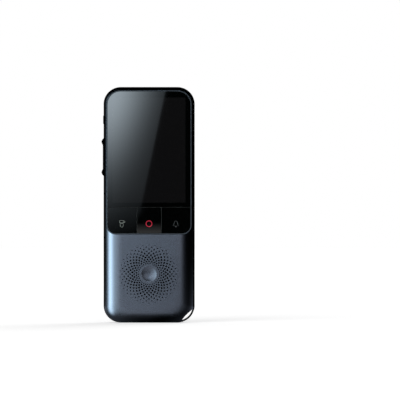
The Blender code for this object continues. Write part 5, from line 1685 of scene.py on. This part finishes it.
@dataclass
class Shells:
    """The two painted shells."""

    form: BodyForm
    eye: StrapEye
    rosette: Rosette
    keys: SideKeys
    port: ChargingPort
    island: CameraIsland
    panel: FrontPanel
    screws: int = 4
    boss_radius: float = 2.1 * MM
    bore_radius: float = 0.85 * MM
    board_front: float = 0.6 * MM
    lip_root: float = 0.1 * MM
    lip_depth: float = 1.0 * MM
    lip_reach: float = 0.7 * MM
    lip_width: float = 0.4 * MM
    groove: float = 0.3 * MM
    port_room: float = 3.0 * MM
    eye_room: Point = (13.5 * MM, 13.0 * MM)
    gap_steps: int = 2

    def openings(self) -> list[Piece]:
        """What is cut through both shells."""
        return [*self.keys.slots(), *self.port.openings(), *self.eye.cutters()]

    def bosses(self, shell: Piece) -> None:
        """The bosses that the board is screwed to.

        Args:
            shell: The front shell, which gets them.
        """
        for number in range(1, self.screws + 1):
            low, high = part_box(f"board_screw_{number}")
            centre = ((low.x + high.x) / 2, (low.z + high.z) / 2)
            foot = -(self.panel.floor_gap + self.panel.floor / 2)
            if centre[1] < self.panel.low:
                foot = -(self.form.half_depth - WALL / 2)
            head = self.board_front - SEAT_GAP
            boss = circle(self.boss_radius, centre, BOSS_STEPS)
            combine(shell, [plate("boss", boss, foot, head)], "UNION")
            bore = circle(self.bore_radius, centre, BORE_STEPS)
            combine(shell, [plate("bore", bore, low.y - 2 * SEAT_GAP, head + OVERRUN)])

    def lip(self) -> Piece:
        """The lip inside the front shell that closes the seam, cleared where pieces pass it.

        Returns:
            The lip as a solid.
        """
        root, fine, rim = -self.lip_root, -SEAM_GAP, self.groove - WALL
        tongue = SEAM_GAP / 2 - INLAY_GAP / 2
        steps = (
            (-self.lip_depth, root), (fine, root), (fine, rim), (tongue, rim), (tongue, INLAY_GAP),
            (self.lip_reach, INLAY_GAP),
        )
        lip = loft("lip", [at_depth(self.form.outline(0.0, WALL, extra), y) for y, extra in steps])
        inside = self.form.outline(0.0, WALL, INLAY_GAP + self.lip_width)
        deep = self.lip_depth + OVERRUN
        wide = self.form.half_width
        half = self.port.width / 2 + 2 * SLIDE_GAP
        left, high = self.eye_room
        gaps = []
        for height, reach, back in self.keys.places.values():
            reach += self.keys.flange_reach + 2 * SLIDE_GAP
            gaps.append((-wide, back + SLIDE_GAP, height - reach, height + reach))
        gaps.append((-half, half, -OVERRUN, self.port_room))
        gaps.append((left, wide + OVERRUN, -OVERRUN, high))
        cuts = [plate("lip inside", inside, -deep, deep)]
        for gap in gaps:
            outline = rounded(*gap, (SLIDE_GAP,) * 4, self.gap_steps)
            cuts.append(plate("lip gap", outline, -deep, deep))
        return combine(lip, cuts)

    def front(self) -> None:
        """The front shell, pierced over the loudspeaker."""
        shell = self.form.solid("front_shell", -1, 0.0, -SEAM_GAP / 2)
        combine(shell, [self.rosette.bars(), self.rosette.dish()])
        hollow = self.form.solid("hollow", -1, WALL, OVERRUN)
        combine(hollow, [self.panel.tray(), self.eye.wall_solid()])
        combine(shell, [hollow])
        combine(shell, [self.lip()], "UNION")
        combine(shell, [self.panel.pocket(), *self.openings()])
        self.bosses(shell)
        dress(smooth(shell), SHELL_PAINT, "housing", ["front_cover"])

    def rear(self) -> None:
        """The rear shell with the camera's raised mount."""
        shell = self.form.solid("rear_shell", 1, 0.0, SEAM_GAP / 2)
        combine(shell, [self.island.plinth()], "UNION")
        hollow = self.form.solid("hollow", 1, WALL, -OVERRUN)
        combine(hollow, [self.eye.wall_solid()])
        combine(shell, [*self.island.cutters(), hollow, *self.openings()])
        dress(smooth(shell), SHELL_PAINT, "housing", ["rear_cover"])

    def build(self) -> None:
        """Both shells."""
        self.front()
        self.rear()


@dataclass
class Inside:
    """The frame's own nodes, each in its real finish: those inside the shells show as they are."""

    finishes: dict[str, Finish] = field(default_factory=lambda: {
        "black_moulding": MATT_MOULDING, "silicone": SILICONE, "foam": FOAM, "green_board": GREEN_BOARD,
        "black_board": BLACK_BOARD, "polyimide": POLYIMIDE, "tinned_steel": TINNED_STEEL,
        "stainless": STAINLESS, "display_face": POLARISER, "white_moulding": WHITE_MOULDING,
        "battery_wrap": LAMINATE, "magnet": NICKEL, "cone_film": CONE_FILM, "dust_mesh": DUST_MESH_AND_HOLE_SHADE,
        "phosphor": PHOSPHOR, "red_wire": RED_WIRE, "black_wire": BLACK_WIRE, "shell_paint": SHELL_PAINT,
        "black_glass": WINDOW_GLASS, "gloss_black": GLOSS_MOULDING, "polished_trim": SMOKED_CHROME,
        "red_light_guide": RED_GUIDE, "lens_glass": COATED_LENS, "diffuser": DIFFUSER,
    })

    def build(self) -> None:
        """Give every node the finish of its slot."""
        for entry in frame["record"]["subparts"]:
            finish = self.finishes[entry["material_slot"]]
            piece = frame["nodes"][entry["node"]]
            piece.data.materials.clear()
            piece.data.materials.append(finish.material())
            LOG.info("%s: %s", entry["node"], finish.name)


@dataclass
class Sweep:
    """A graded reflector round one face of the device, which only reflections see.

    It is bright to the left, where it puts the long highlight on the shoulder, and dim round
    the lens, where it lights the flat paint. A window in it keeps the glass black, and a
    slanting panel in the window's left part gives the glass its sheen.
    """

    side: str
    turn: float
    up: float
    lit: bpy.types.Collection
    radius: float = 1.2
    column_step: float = 2.0
    rows: int = 16
    tint: Colour = (0.84, 1.0, 1.0)
    tint_reach: float = 20.0
    fade_power: float = 0.7
    window: Bounds = (-75.0 * MM, 44.0 * MM, 36.0 * MM, 190.0 * MM)
    sheen_tint: Colour = (0.855, 1.0, 1.106)
    glow_centre: Point = (-53.7 * MM, 175.2 * MM)
    glow_spread: Point = (21.3 * MM, 46.4 * MM)
    glow_peak: float = 8.3
    glow_base: float = 0.27
    base_rise: float = 45.0 * MM
    slant: float = 0.21
    edge_top: float = 1.2 * MM
    below_share: Point = (1.5, 0.0)
    # (degrees to the left, radiance, where 1 is white), and (degrees to the left, degrees up and
    # down from the device's middle).
    radiances: tuple[Point, ...] = (
        (-22.0, 0.0), (-15.0, 0.15), (-8.0, 1.45), (3.0, 2.8), (12.0, 2.6), (18.0, 2.7), (25.0, 4.9),
        (32.0, 9.0), (40.0, 10.9), (48.0, 7.1), (56.0, 3.3), (64.0, 1.0), (74.0, 0.6), (86.0, 0.4),
    )
    heights: tuple[Point, ...] = (
        (-22.0, 6.0), (-8.0, 9.5), (3.0, 11.0), (12.0, 16.0), (25.0, 34.0), (40.0, 36.0), (86.0, 36.0),
    )

    def between(self, stops: Sequence[Point], at: float) -> float:
        """Read a row of (degrees, value) stops.

        Args:
            stops: The stops, in order.
            at: The degrees to read it at.

        Returns:
            The value there.
        """
        for (start, low), (end, high) in zip(stops, stops[1:]):
            if at <= end:
                return low + (high - low) * (at - start) / (end - start)
        return stops[-1][1]

    def place(self, across: float, depth: float, height: float) -> Vector:
        """A point of the set, turned to its side of the device."""
        return Matrix.Rotation(self.turn, 3, "Z") @ Vector((across, depth, height))

    def sheet(
        self, name: str, columns: Sequence[Sequence[tuple[Vector, float, float]]], tint: Colour,
    ) -> None:
        """A sheet of points with a radiance and a tint share each.

        Args:
            name: Its name.
            columns: Its columns of (place, radiance, share of the tint).
            tint: Its full tint.
        """
        built = bmesh.new()
        layer = built.verts.layers.float_color.new("light")
        grid = []
        for column in columns:
            grid.append([built.verts.new(place) for place, _, _ in column])
            for vertex, (_, radiance, share) in zip(grid[-1], column):
                vertex[layer] = (*(radiance * (1.0 + (c - 1.0) * share) for c in tint), 1.0)
        for left, right in zip(grid, grid[1:]):
            for i in range(len(left) - 1):
                built.faces.new((left[i], right[i], right[i + 1], left[i + 1]))
        card = from_bmesh(name, built)
        card.data.materials.append(light_sheet())
        card.light_linking.receiver_collection = self.lit
        only_reflected(card)

    def strip(
        self, name: str, start: float, end: float, low: float | None, high: float | None,
        share: Point = (1.0, 1.0),
    ) -> None:
        """A curved part of the reflector.

        Args:
            name: Its name.
            start: The degrees at which it starts, counted to the left.
            end: The degrees at which it ends.
            low: Where its lower edge is, or None for the reflector's own.
            high: Where its upper edge is, or None for the reflector's own.
            share: How much of the reflector's radiance it has at its lower and upper edge.
        """
        count = max(2, round((end - start) / self.column_step))
        columns = []
        for i in range(count + 1):
            degrees = start + (end - start) * i / count
            angle = math.radians(degrees)
            reach = self.radius * math.tan(math.radians(self.between(self.heights, degrees)))
            bottom = self.up - reach if low is None else low
            top = self.up + reach if high is None else high
            column = []
            for row in range(self.rows + 1):
                height = bottom + (top - bottom) * row / self.rows
                aside = min(abs(height - self.up) / reach, 1.0)
                fade = math.cos(aside * QUARTER) ** self.fade_power
                point = self.place(-self.radius * math.sin(angle), -self.radius * math.cos(angle), height)
                tinted = min(max(degrees / self.tint_reach, 0.0), 1.0)
                kept = share[0] + (share[1] - share[0]) * row / self.rows
                column.append((point, self.between(self.radiances, degrees) * fade * kept, tinted))
            columns.append(column)
        self.sheet(f"{self.side}_{name}", columns, self.tint)

    def sheen(self) -> None:
        """The slanting panel that the glass mirrors."""
        left, _, low, high = self.window
        columns = []
        for i in range(self.rows + 1):
            column = []
            for row in range(self.rows + 1):
                height = low + (high - low) * row / self.rows
                edge = self.edge_top - (high - height) * self.slant
                across = left + (edge - left) * i / self.rows
                rise = height - self.glow_centre[1]
                aside = (across - self.glow_centre[0] - self.slant * rise) / self.glow_spread[0]
                rise /= self.glow_spread[1]
                radiance = self.glow_base * min((height - low) / self.base_rise, 1.0)
                radiance += self.glow_peak * math.exp(-(aside ** 2 + rise ** 2) / 2)
                column.append((self.place(across, -self.radius, height), radiance, 1.0))
            columns.append(column)
        self.sheet(self.side + "_sheen", columns, self.sheen_tint)

    def build(self) -> None:
        """The reflector's four parts round its window, and the sheen."""
        left, right, low, high = self.window
        first = math.degrees(math.asin(-right / self.radius))
        last = math.degrees(math.asin(-left / self.radius))
        self.strip("sweep_right", self.radiances[0][0], first, None, None)
        self.strip("sweep_left", last, self.radiances[-1][0], None, None)
        self.strip("sweep_below", first, last, None, low, self.below_share)
        self.strip("sweep_above", first, last, high, None)
        self.sheen()


@dataclass
class Studio:
    """The pale set: floor, white surroundings, black cloth, reflectors, lights and camera."""

    centre: Vector
    faces: dict[str, bpy.types.Collection]
    distance: float = 2.0
    frame_width: float = 0.233
    sensor: float = 36.0
    camera_across: float = 29.6 * MM
    camera_up: float = 2.8 * MM
    camera_reach: float = 20.0
    floor_size: float = 6.0
    floor_colour: str = "F2F2F2"
    floor_roughness: float = 0.9
    # The floor's own light, and the distances between which it rises to full.
    floor_lift: Point = (0.44, 0.72)
    lamp_reach: Point = (0.25, 1.6)
    # The floor in reflections: a ring that rises from black at the device's foot, a painted
    # shadow, and falls again far out, with painted shade on one diagonal, and open on the other
    # beside the device. The diagonals are told by the product of X and Y of the direction from
    # the device's foot.
    floor_mirrored: float = 0.8
    floor_shade: float = 0.1
    floor_dark: Point = (-0.5, 0.0)
    floor_open: Point = (0.05, 0.25)
    floor_beside: Point = (24.0 * MM, 34.0 * MM)
    foot_shadow_fade: Point = (0.0, 70.0 * MM)
    floor_fall: Point = (180.0 * MM, 340.0 * MM)
    ambient: float = 0.35
    tent_radius: float = 3.2
    tent_sides: int = 48
    softbox_azimuth: float = 40.0
    softbox_elevation: float = 30.0
    softbox_distance: float = 1.2
    softbox_size: Point = (0.7, 1.2)
    softbox_radiance: float = 2.0

    def camera(self) -> None:
        """A long lens two metres away, level, with the device left of the picture's middle."""
        data = bpy.data.cameras.new("camera")
        data.sensor_width = self.sensor
        data.lens = self.sensor * self.distance / self.frame_width
        data.clip_end = self.camera_reach
        camera = bpy.data.objects.new("camera", data)
        camera.location = (self.camera_across, -self.distance, self.centre.z + self.camera_up)
        camera.rotation_euler = (QUARTER, 0.0, 0.0)
        bpy.context.scene.collection.objects.link(camera)
        bpy.context.scene.camera = camera

    def world(self) -> None:
        """A plain even light, white wherever the camera, gloss or glass looks at it."""
        world = bpy.data.worlds.new("studio")
        bpy.context.scene.world = world
        world.use_nodes = True
        tree = world.node_tree
        seen = seen_directly(tree)
        even = tree.nodes["Background"]
        even.inputs["Color"].default_value = WHITE
        even.inputs["Strength"].default_value = self.ambient
        white = add_node(tree, "ShaderNodeBackground", values={"Strength": 1.0, "Color": WHITE})
        mixed = add_node(
            tree, "ShaderNodeMixShader",
            links={0: seen, 1: even.outputs["Background"], 2: white.outputs["Background"]},
        )
        output = tree.nodes["World Output"]
        tree.links.new(mixed.outputs["Shader"], output.inputs["Surface"])

    def floor(self) -> None:
        """A pale floor that keeps the device's shadow."""
        half = self.floor_size / 2
        built = bmesh.new()
        corners = ((-half, -half), (half, -half), (half, half), (-half, half))
        built.faces.new([built.verts.new((x, y, 0.0)) for x, y in corners])
        floor = from_bmesh("floor", built)
        made = bpy.data.materials.new("Matt white floor")
        made.use_nodes = True
        tree = made.node_tree
        paint = tree.nodes["Principled BSDF"]
        paint.inputs["Base Color"].default_value = linear_rgb(self.floor_colour)
        paint.inputs["Roughness"].default_value = self.floor_roughness
        paint.inputs["Specular IOR Level"].default_value = 0.0
        paint.inputs["Emission Color"].default_value = WHITE
        tree.links.new(self.lifted(tree), paint.inputs["Emission Strength"])
        mixed = add_node(
            tree, "ShaderNodeMixShader",
            links={
                0: add_node(tree, "ShaderNodeLightPath").outputs["Is Glossy Ray"],
                1: paint.outputs["BSDF"], 2: self.mirrored(tree),
            },
        )
        tree.links.new(mixed.outputs["Shader"], tree.nodes["Material Output"].inputs["Surface"])
        floor.data.materials.append(made)

    def lifted(self, tree: Tree) -> Socket:
        """The floor's own light, which takes it to white where it is looked at.

        Args:
            tree: The floor's node tree.

        Returns:
            The socket that gives its strength.
        """
        lift = add_node(
            tree, "ShaderNodeMapRange", settings={"interpolation_type": "SMOOTHSTEP"},
            values={
                "From Min": self.lamp_reach[0], "From Max": self.lamp_reach[1],
                "To Min": self.floor_lift[0], "To Max": self.floor_lift[1],
            },
            links={"Value": self.distance_away(tree)},
        )
        return add_node(
            tree, "ShaderNodeMath", settings={"operation": "MULTIPLY"},
            links={0: lift.outputs["Result"], 1: seen_directly(tree)},
        ).outputs[0]

    def distance_away(self, tree: Tree) -> Socket:
        """How far a point of the floor is from the device's foot.

        Args:
            tree: The floor's node tree.

        Returns:
            The socket that gives the distance.
        """
        place = add_node(tree, "ShaderNodeTexCoord").outputs["Object"]
        away = add_node(tree, "ShaderNodeVectorMath", settings={"operation": "LENGTH"}, links={0: place})
        return away.outputs["Value"]

    def mirrored(self, tree: Tree) -> Socket:
        """How reflections see the floor: a pale ring with a painted shadow at the device's foot,
        and painted shade on one diagonal, open on the other.

        It is open beside the device and before the bright part of each reflector, whose light goes
        on below the floor, so that the highlight on the shoulder follows the lower corner.

        Args:
            tree: The floor's node tree.

        Returns:
            The socket of its shader.
        """
        place = add_node(tree, "ShaderNodeTexCoord").outputs["Object"]
        away = self.distance_away(tree)
        sides = []
        # The ring starts black at the device's foot, a painted shadow, and fades out far away.
        for near, far in (self.foot_shadow_fade, self.floor_fall):
            side = add_node(
                tree, "ShaderNodeMapRange", settings={"interpolation_type": "SMOOTHSTEP"},
                values={"From Min": near, "From Max": far, "To Max": self.floor_mirrored},
                links={"Value": away},
            )
            sides.append(side.outputs["Result"])
        ring = add_node(
            tree, "ShaderNodeMath", settings={"operation": "SUBTRACT"}, links=dict(enumerate(sides)),
        ).outputs[0]
        way = add_node(tree, "ShaderNodeVectorMath", settings={"operation": "NORMALIZE"}, links={0: place})
        axes = add_node(tree, "ShaderNodeSeparateXYZ", links={"Vector": way.outputs["Vector"]}).outputs
        diagonal = add_node(
            tree, "ShaderNodeMath", settings={"operation": "MULTIPLY"}, links={0: axes["X"], 1: axes["Y"]},
        ).outputs[0]
        shade = add_node(
            tree, "ShaderNodeMapRange",
            values={
                "From Min": self.floor_dark[0], "From Max": self.floor_dark[1],
                "To Min": self.floor_shade,
            },
            links={"Value": diagonal},
        )
        strength = add_node(
            tree, "ShaderNodeMath", settings={"operation": "MULTIPLY"},
            links={0: ring, 1: shade.outputs["Result"]},
        )
        glow = add_node(
            tree, "ShaderNodeEmission", values={"Color": WHITE},
            links={"Strength": strength.outputs[0]},
        )
        across = add_node(tree, "ShaderNodeSeparateXYZ", links={"Vector": place}).outputs["X"]
        aside = add_node(tree, "ShaderNodeMath", settings={"operation": "ABSOLUTE"}, links={0: across})
        opened = []
        for (near, far), value in ((self.floor_open, diagonal), (self.floor_beside, aside.outputs[0])):
            share = add_node(
                tree, "ShaderNodeMapRange", values={"From Min": near, "From Max": far},
                links={"Value": value},
            )
            opened.append(share.outputs["Result"])
        both = add_node(
            tree, "ShaderNodeMath", settings={"operation": "MULTIPLY"}, links=dict(enumerate(opened)),
        )
        return add_node(
            tree, "ShaderNodeMixShader",
            links={
                0: both.outputs[0], 1: glow.outputs["Emission"],
                2: add_node(tree, "ShaderNodeBsdfTransparent").outputs["BSDF"],
            },
        ).outputs["Shader"]

    def tent(self) -> None:
        """Black cloth all round, which only reflections see: it keeps the paint's edges dark."""
        built = bmesh.new()
        radius = self.tent_radius
        bmesh.ops.create_cone(
            built, cap_ends=True, segments=self.tent_sides, radius1=radius, radius2=radius,
            depth=2 * radius,
        )
        tent = from_bmesh("black_cloth", built)
        tent.data.materials.append(glowing("Black velvet", "000000", 0.0))
        only_reflected(tent)

    def softbox(self, name: str, turned: float) -> None:
        """A rectangular soft light aimed at the device, from the left and above.

        Args:
            name: Its name.
            turned: The angle by which its side of the set is turned.
        """
        wide, tall = self.softbox_size
        data = bpy.data.lights.new(name, "AREA")
        data.shape = "RECTANGLE"
        data.size, data.size_y = wide, tall
        data.energy = self.softbox_radiance * math.pi * wide * tall
        light = bpy.data.objects.new(name, data)
        turn = math.radians(self.softbox_azimuth) + turned
        rise = math.radians(self.softbox_elevation)
        level = math.cos(rise)
        toward = Vector((-math.sin(turn) * level, -math.cos(turn) * level, math.sin(rise)))
        light.location = self.centre + toward * self.softbox_distance
        light.rotation_mode = "QUATERNION"
        light.rotation_quaternion = toward.to_track_quat("Z", "Y")
        light.visible_glossy = False
        bpy.context.scene.collection.objects.link(light)

    def build(self) -> None:
        """The whole set: the same lights before the front and, turned about, behind the back."""
        bpy.context.scene.view_settings.view_transform = "Standard"
        self.camera()
        self.world()
        self.floor()
        self.tent()
        for side, turn in (("front", 0.0), ("rear", math.pi)):
            Sweep(side, turn, self.centre.z, self.faces[side]).build()
            self.softbox(side + "_softbox", turn)


# The set's materials, and the last steps.

def seen_directly(tree: Tree) -> Socket:
    """1 for camera, glossy and transmission rays, and 0 for the rest.

    Args:
        tree: The node tree to add to.

    Returns:
        The socket that gives it.
    """
    path = add_node(tree, "ShaderNodeLightPath").outputs
    total = path["Is Camera Ray"]
    for name in ("Is Glossy Ray", "Is Transmission Ray"):
        total = add_node(
            tree, "ShaderNodeMath", settings={"operation": "MAXIMUM"}, links={0: total, 1: path[name]},
        ).outputs[0]
    return total


def glowing(name: str, colour: str, strength: float) -> bpy.types.Material:
    """A material that only gives light, or none.

    Args:
        name: Its name.
        colour: Its sRGB hex colour.
        strength: How much light it gives, where 1 is white.

    Returns:
        The material.
    """
    made = bpy.data.materials.new(name)
    made.use_nodes = True
    tree = made.node_tree
    tree.nodes.remove(tree.nodes["Principled BSDF"])
    light = add_node(
        tree, "ShaderNodeEmission", values={"Color": linear_rgb(colour), "Strength": strength},
    )
    tree.links.new(light.outputs["Emission"], tree.nodes["Material Output"].inputs["Surface"])
    return made


def light_sheet() -> bpy.types.Material:
    """A reflector's cloth: it glows as its own colour attribute says.

    Returns:
        The material, made once.
    """
    made = bpy.data.materials.get("Lit white cloth")
    if made is None:
        made = glowing("Lit white cloth", "FFFFFF", 1.0)
        tree = made.node_tree
        light = add_node(tree, "ShaderNodeAttribute", settings={"attribute_name": "light"})
        tree.links.new(light.outputs["Color"], tree.nodes["Emission"].inputs["Color"])
    return made


def only_reflected(piece: Piece) -> None:
    """Make a piece of the set show in reflections alone.

    Args:
        piece: The piece.
    """
    piece.visible_camera = False
    piece.visible_diffuse = False
    piece.visible_transmission = False
    piece.visible_volume_scatter = False
    piece.visible_shadow = False


def two_faces() -> dict[str, bpy.types.Collection]:
    """The pieces that the front reflector lights, and those that the rear one lights.

    Returns:
        The collections of both.
    """
    faces = {side: bpy.data.collections.new(side + "_pieces") for side in ("front", "rear")}
    # A piece whose middle is further back than this is lit from behind.
    rear_middle = -MM
    for piece in bpy.context.scene.objects:
        if piece.type != "MESH":
            continue
        depths = [vertex.co.y for vertex in piece.data.vertices]
        side = "rear" if (min(depths) + max(depths)) / 2 > rear_middle else "front"
        faces[side].objects.link(piece)
    return faces


def main() -> None:
    """Build every sub-assembly in order, then the set."""
    logging.basicConfig(level=logging.INFO)
    low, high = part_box("front_cover")
    form = BodyForm(half_width=high.x, height=high.z, half_depth=-low.y)
    speaker_low, speaker_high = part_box("speaker_mesh")
    eye = StrapEye(form)
    rosette = Rosette(height=(speaker_low.z + speaker_high.z) / 2, face=low.y)
    keys = SideKeys(form)
    port = ChargingPort(height=form.height)
    island = CameraIsland(form)
    panel = FrontPanel(form)
    Inside().build()
    Shells(form, eye, rosette, keys, port, island, panel).build()
    for assembly in (eye, keys, port, island, panel, KeyRow(panel)):
        assembly.build()
    Studio(Vector((0.0, 0.0, form.height / 2)), two_faces()).build()


if __name__ == "__main__":
    main()
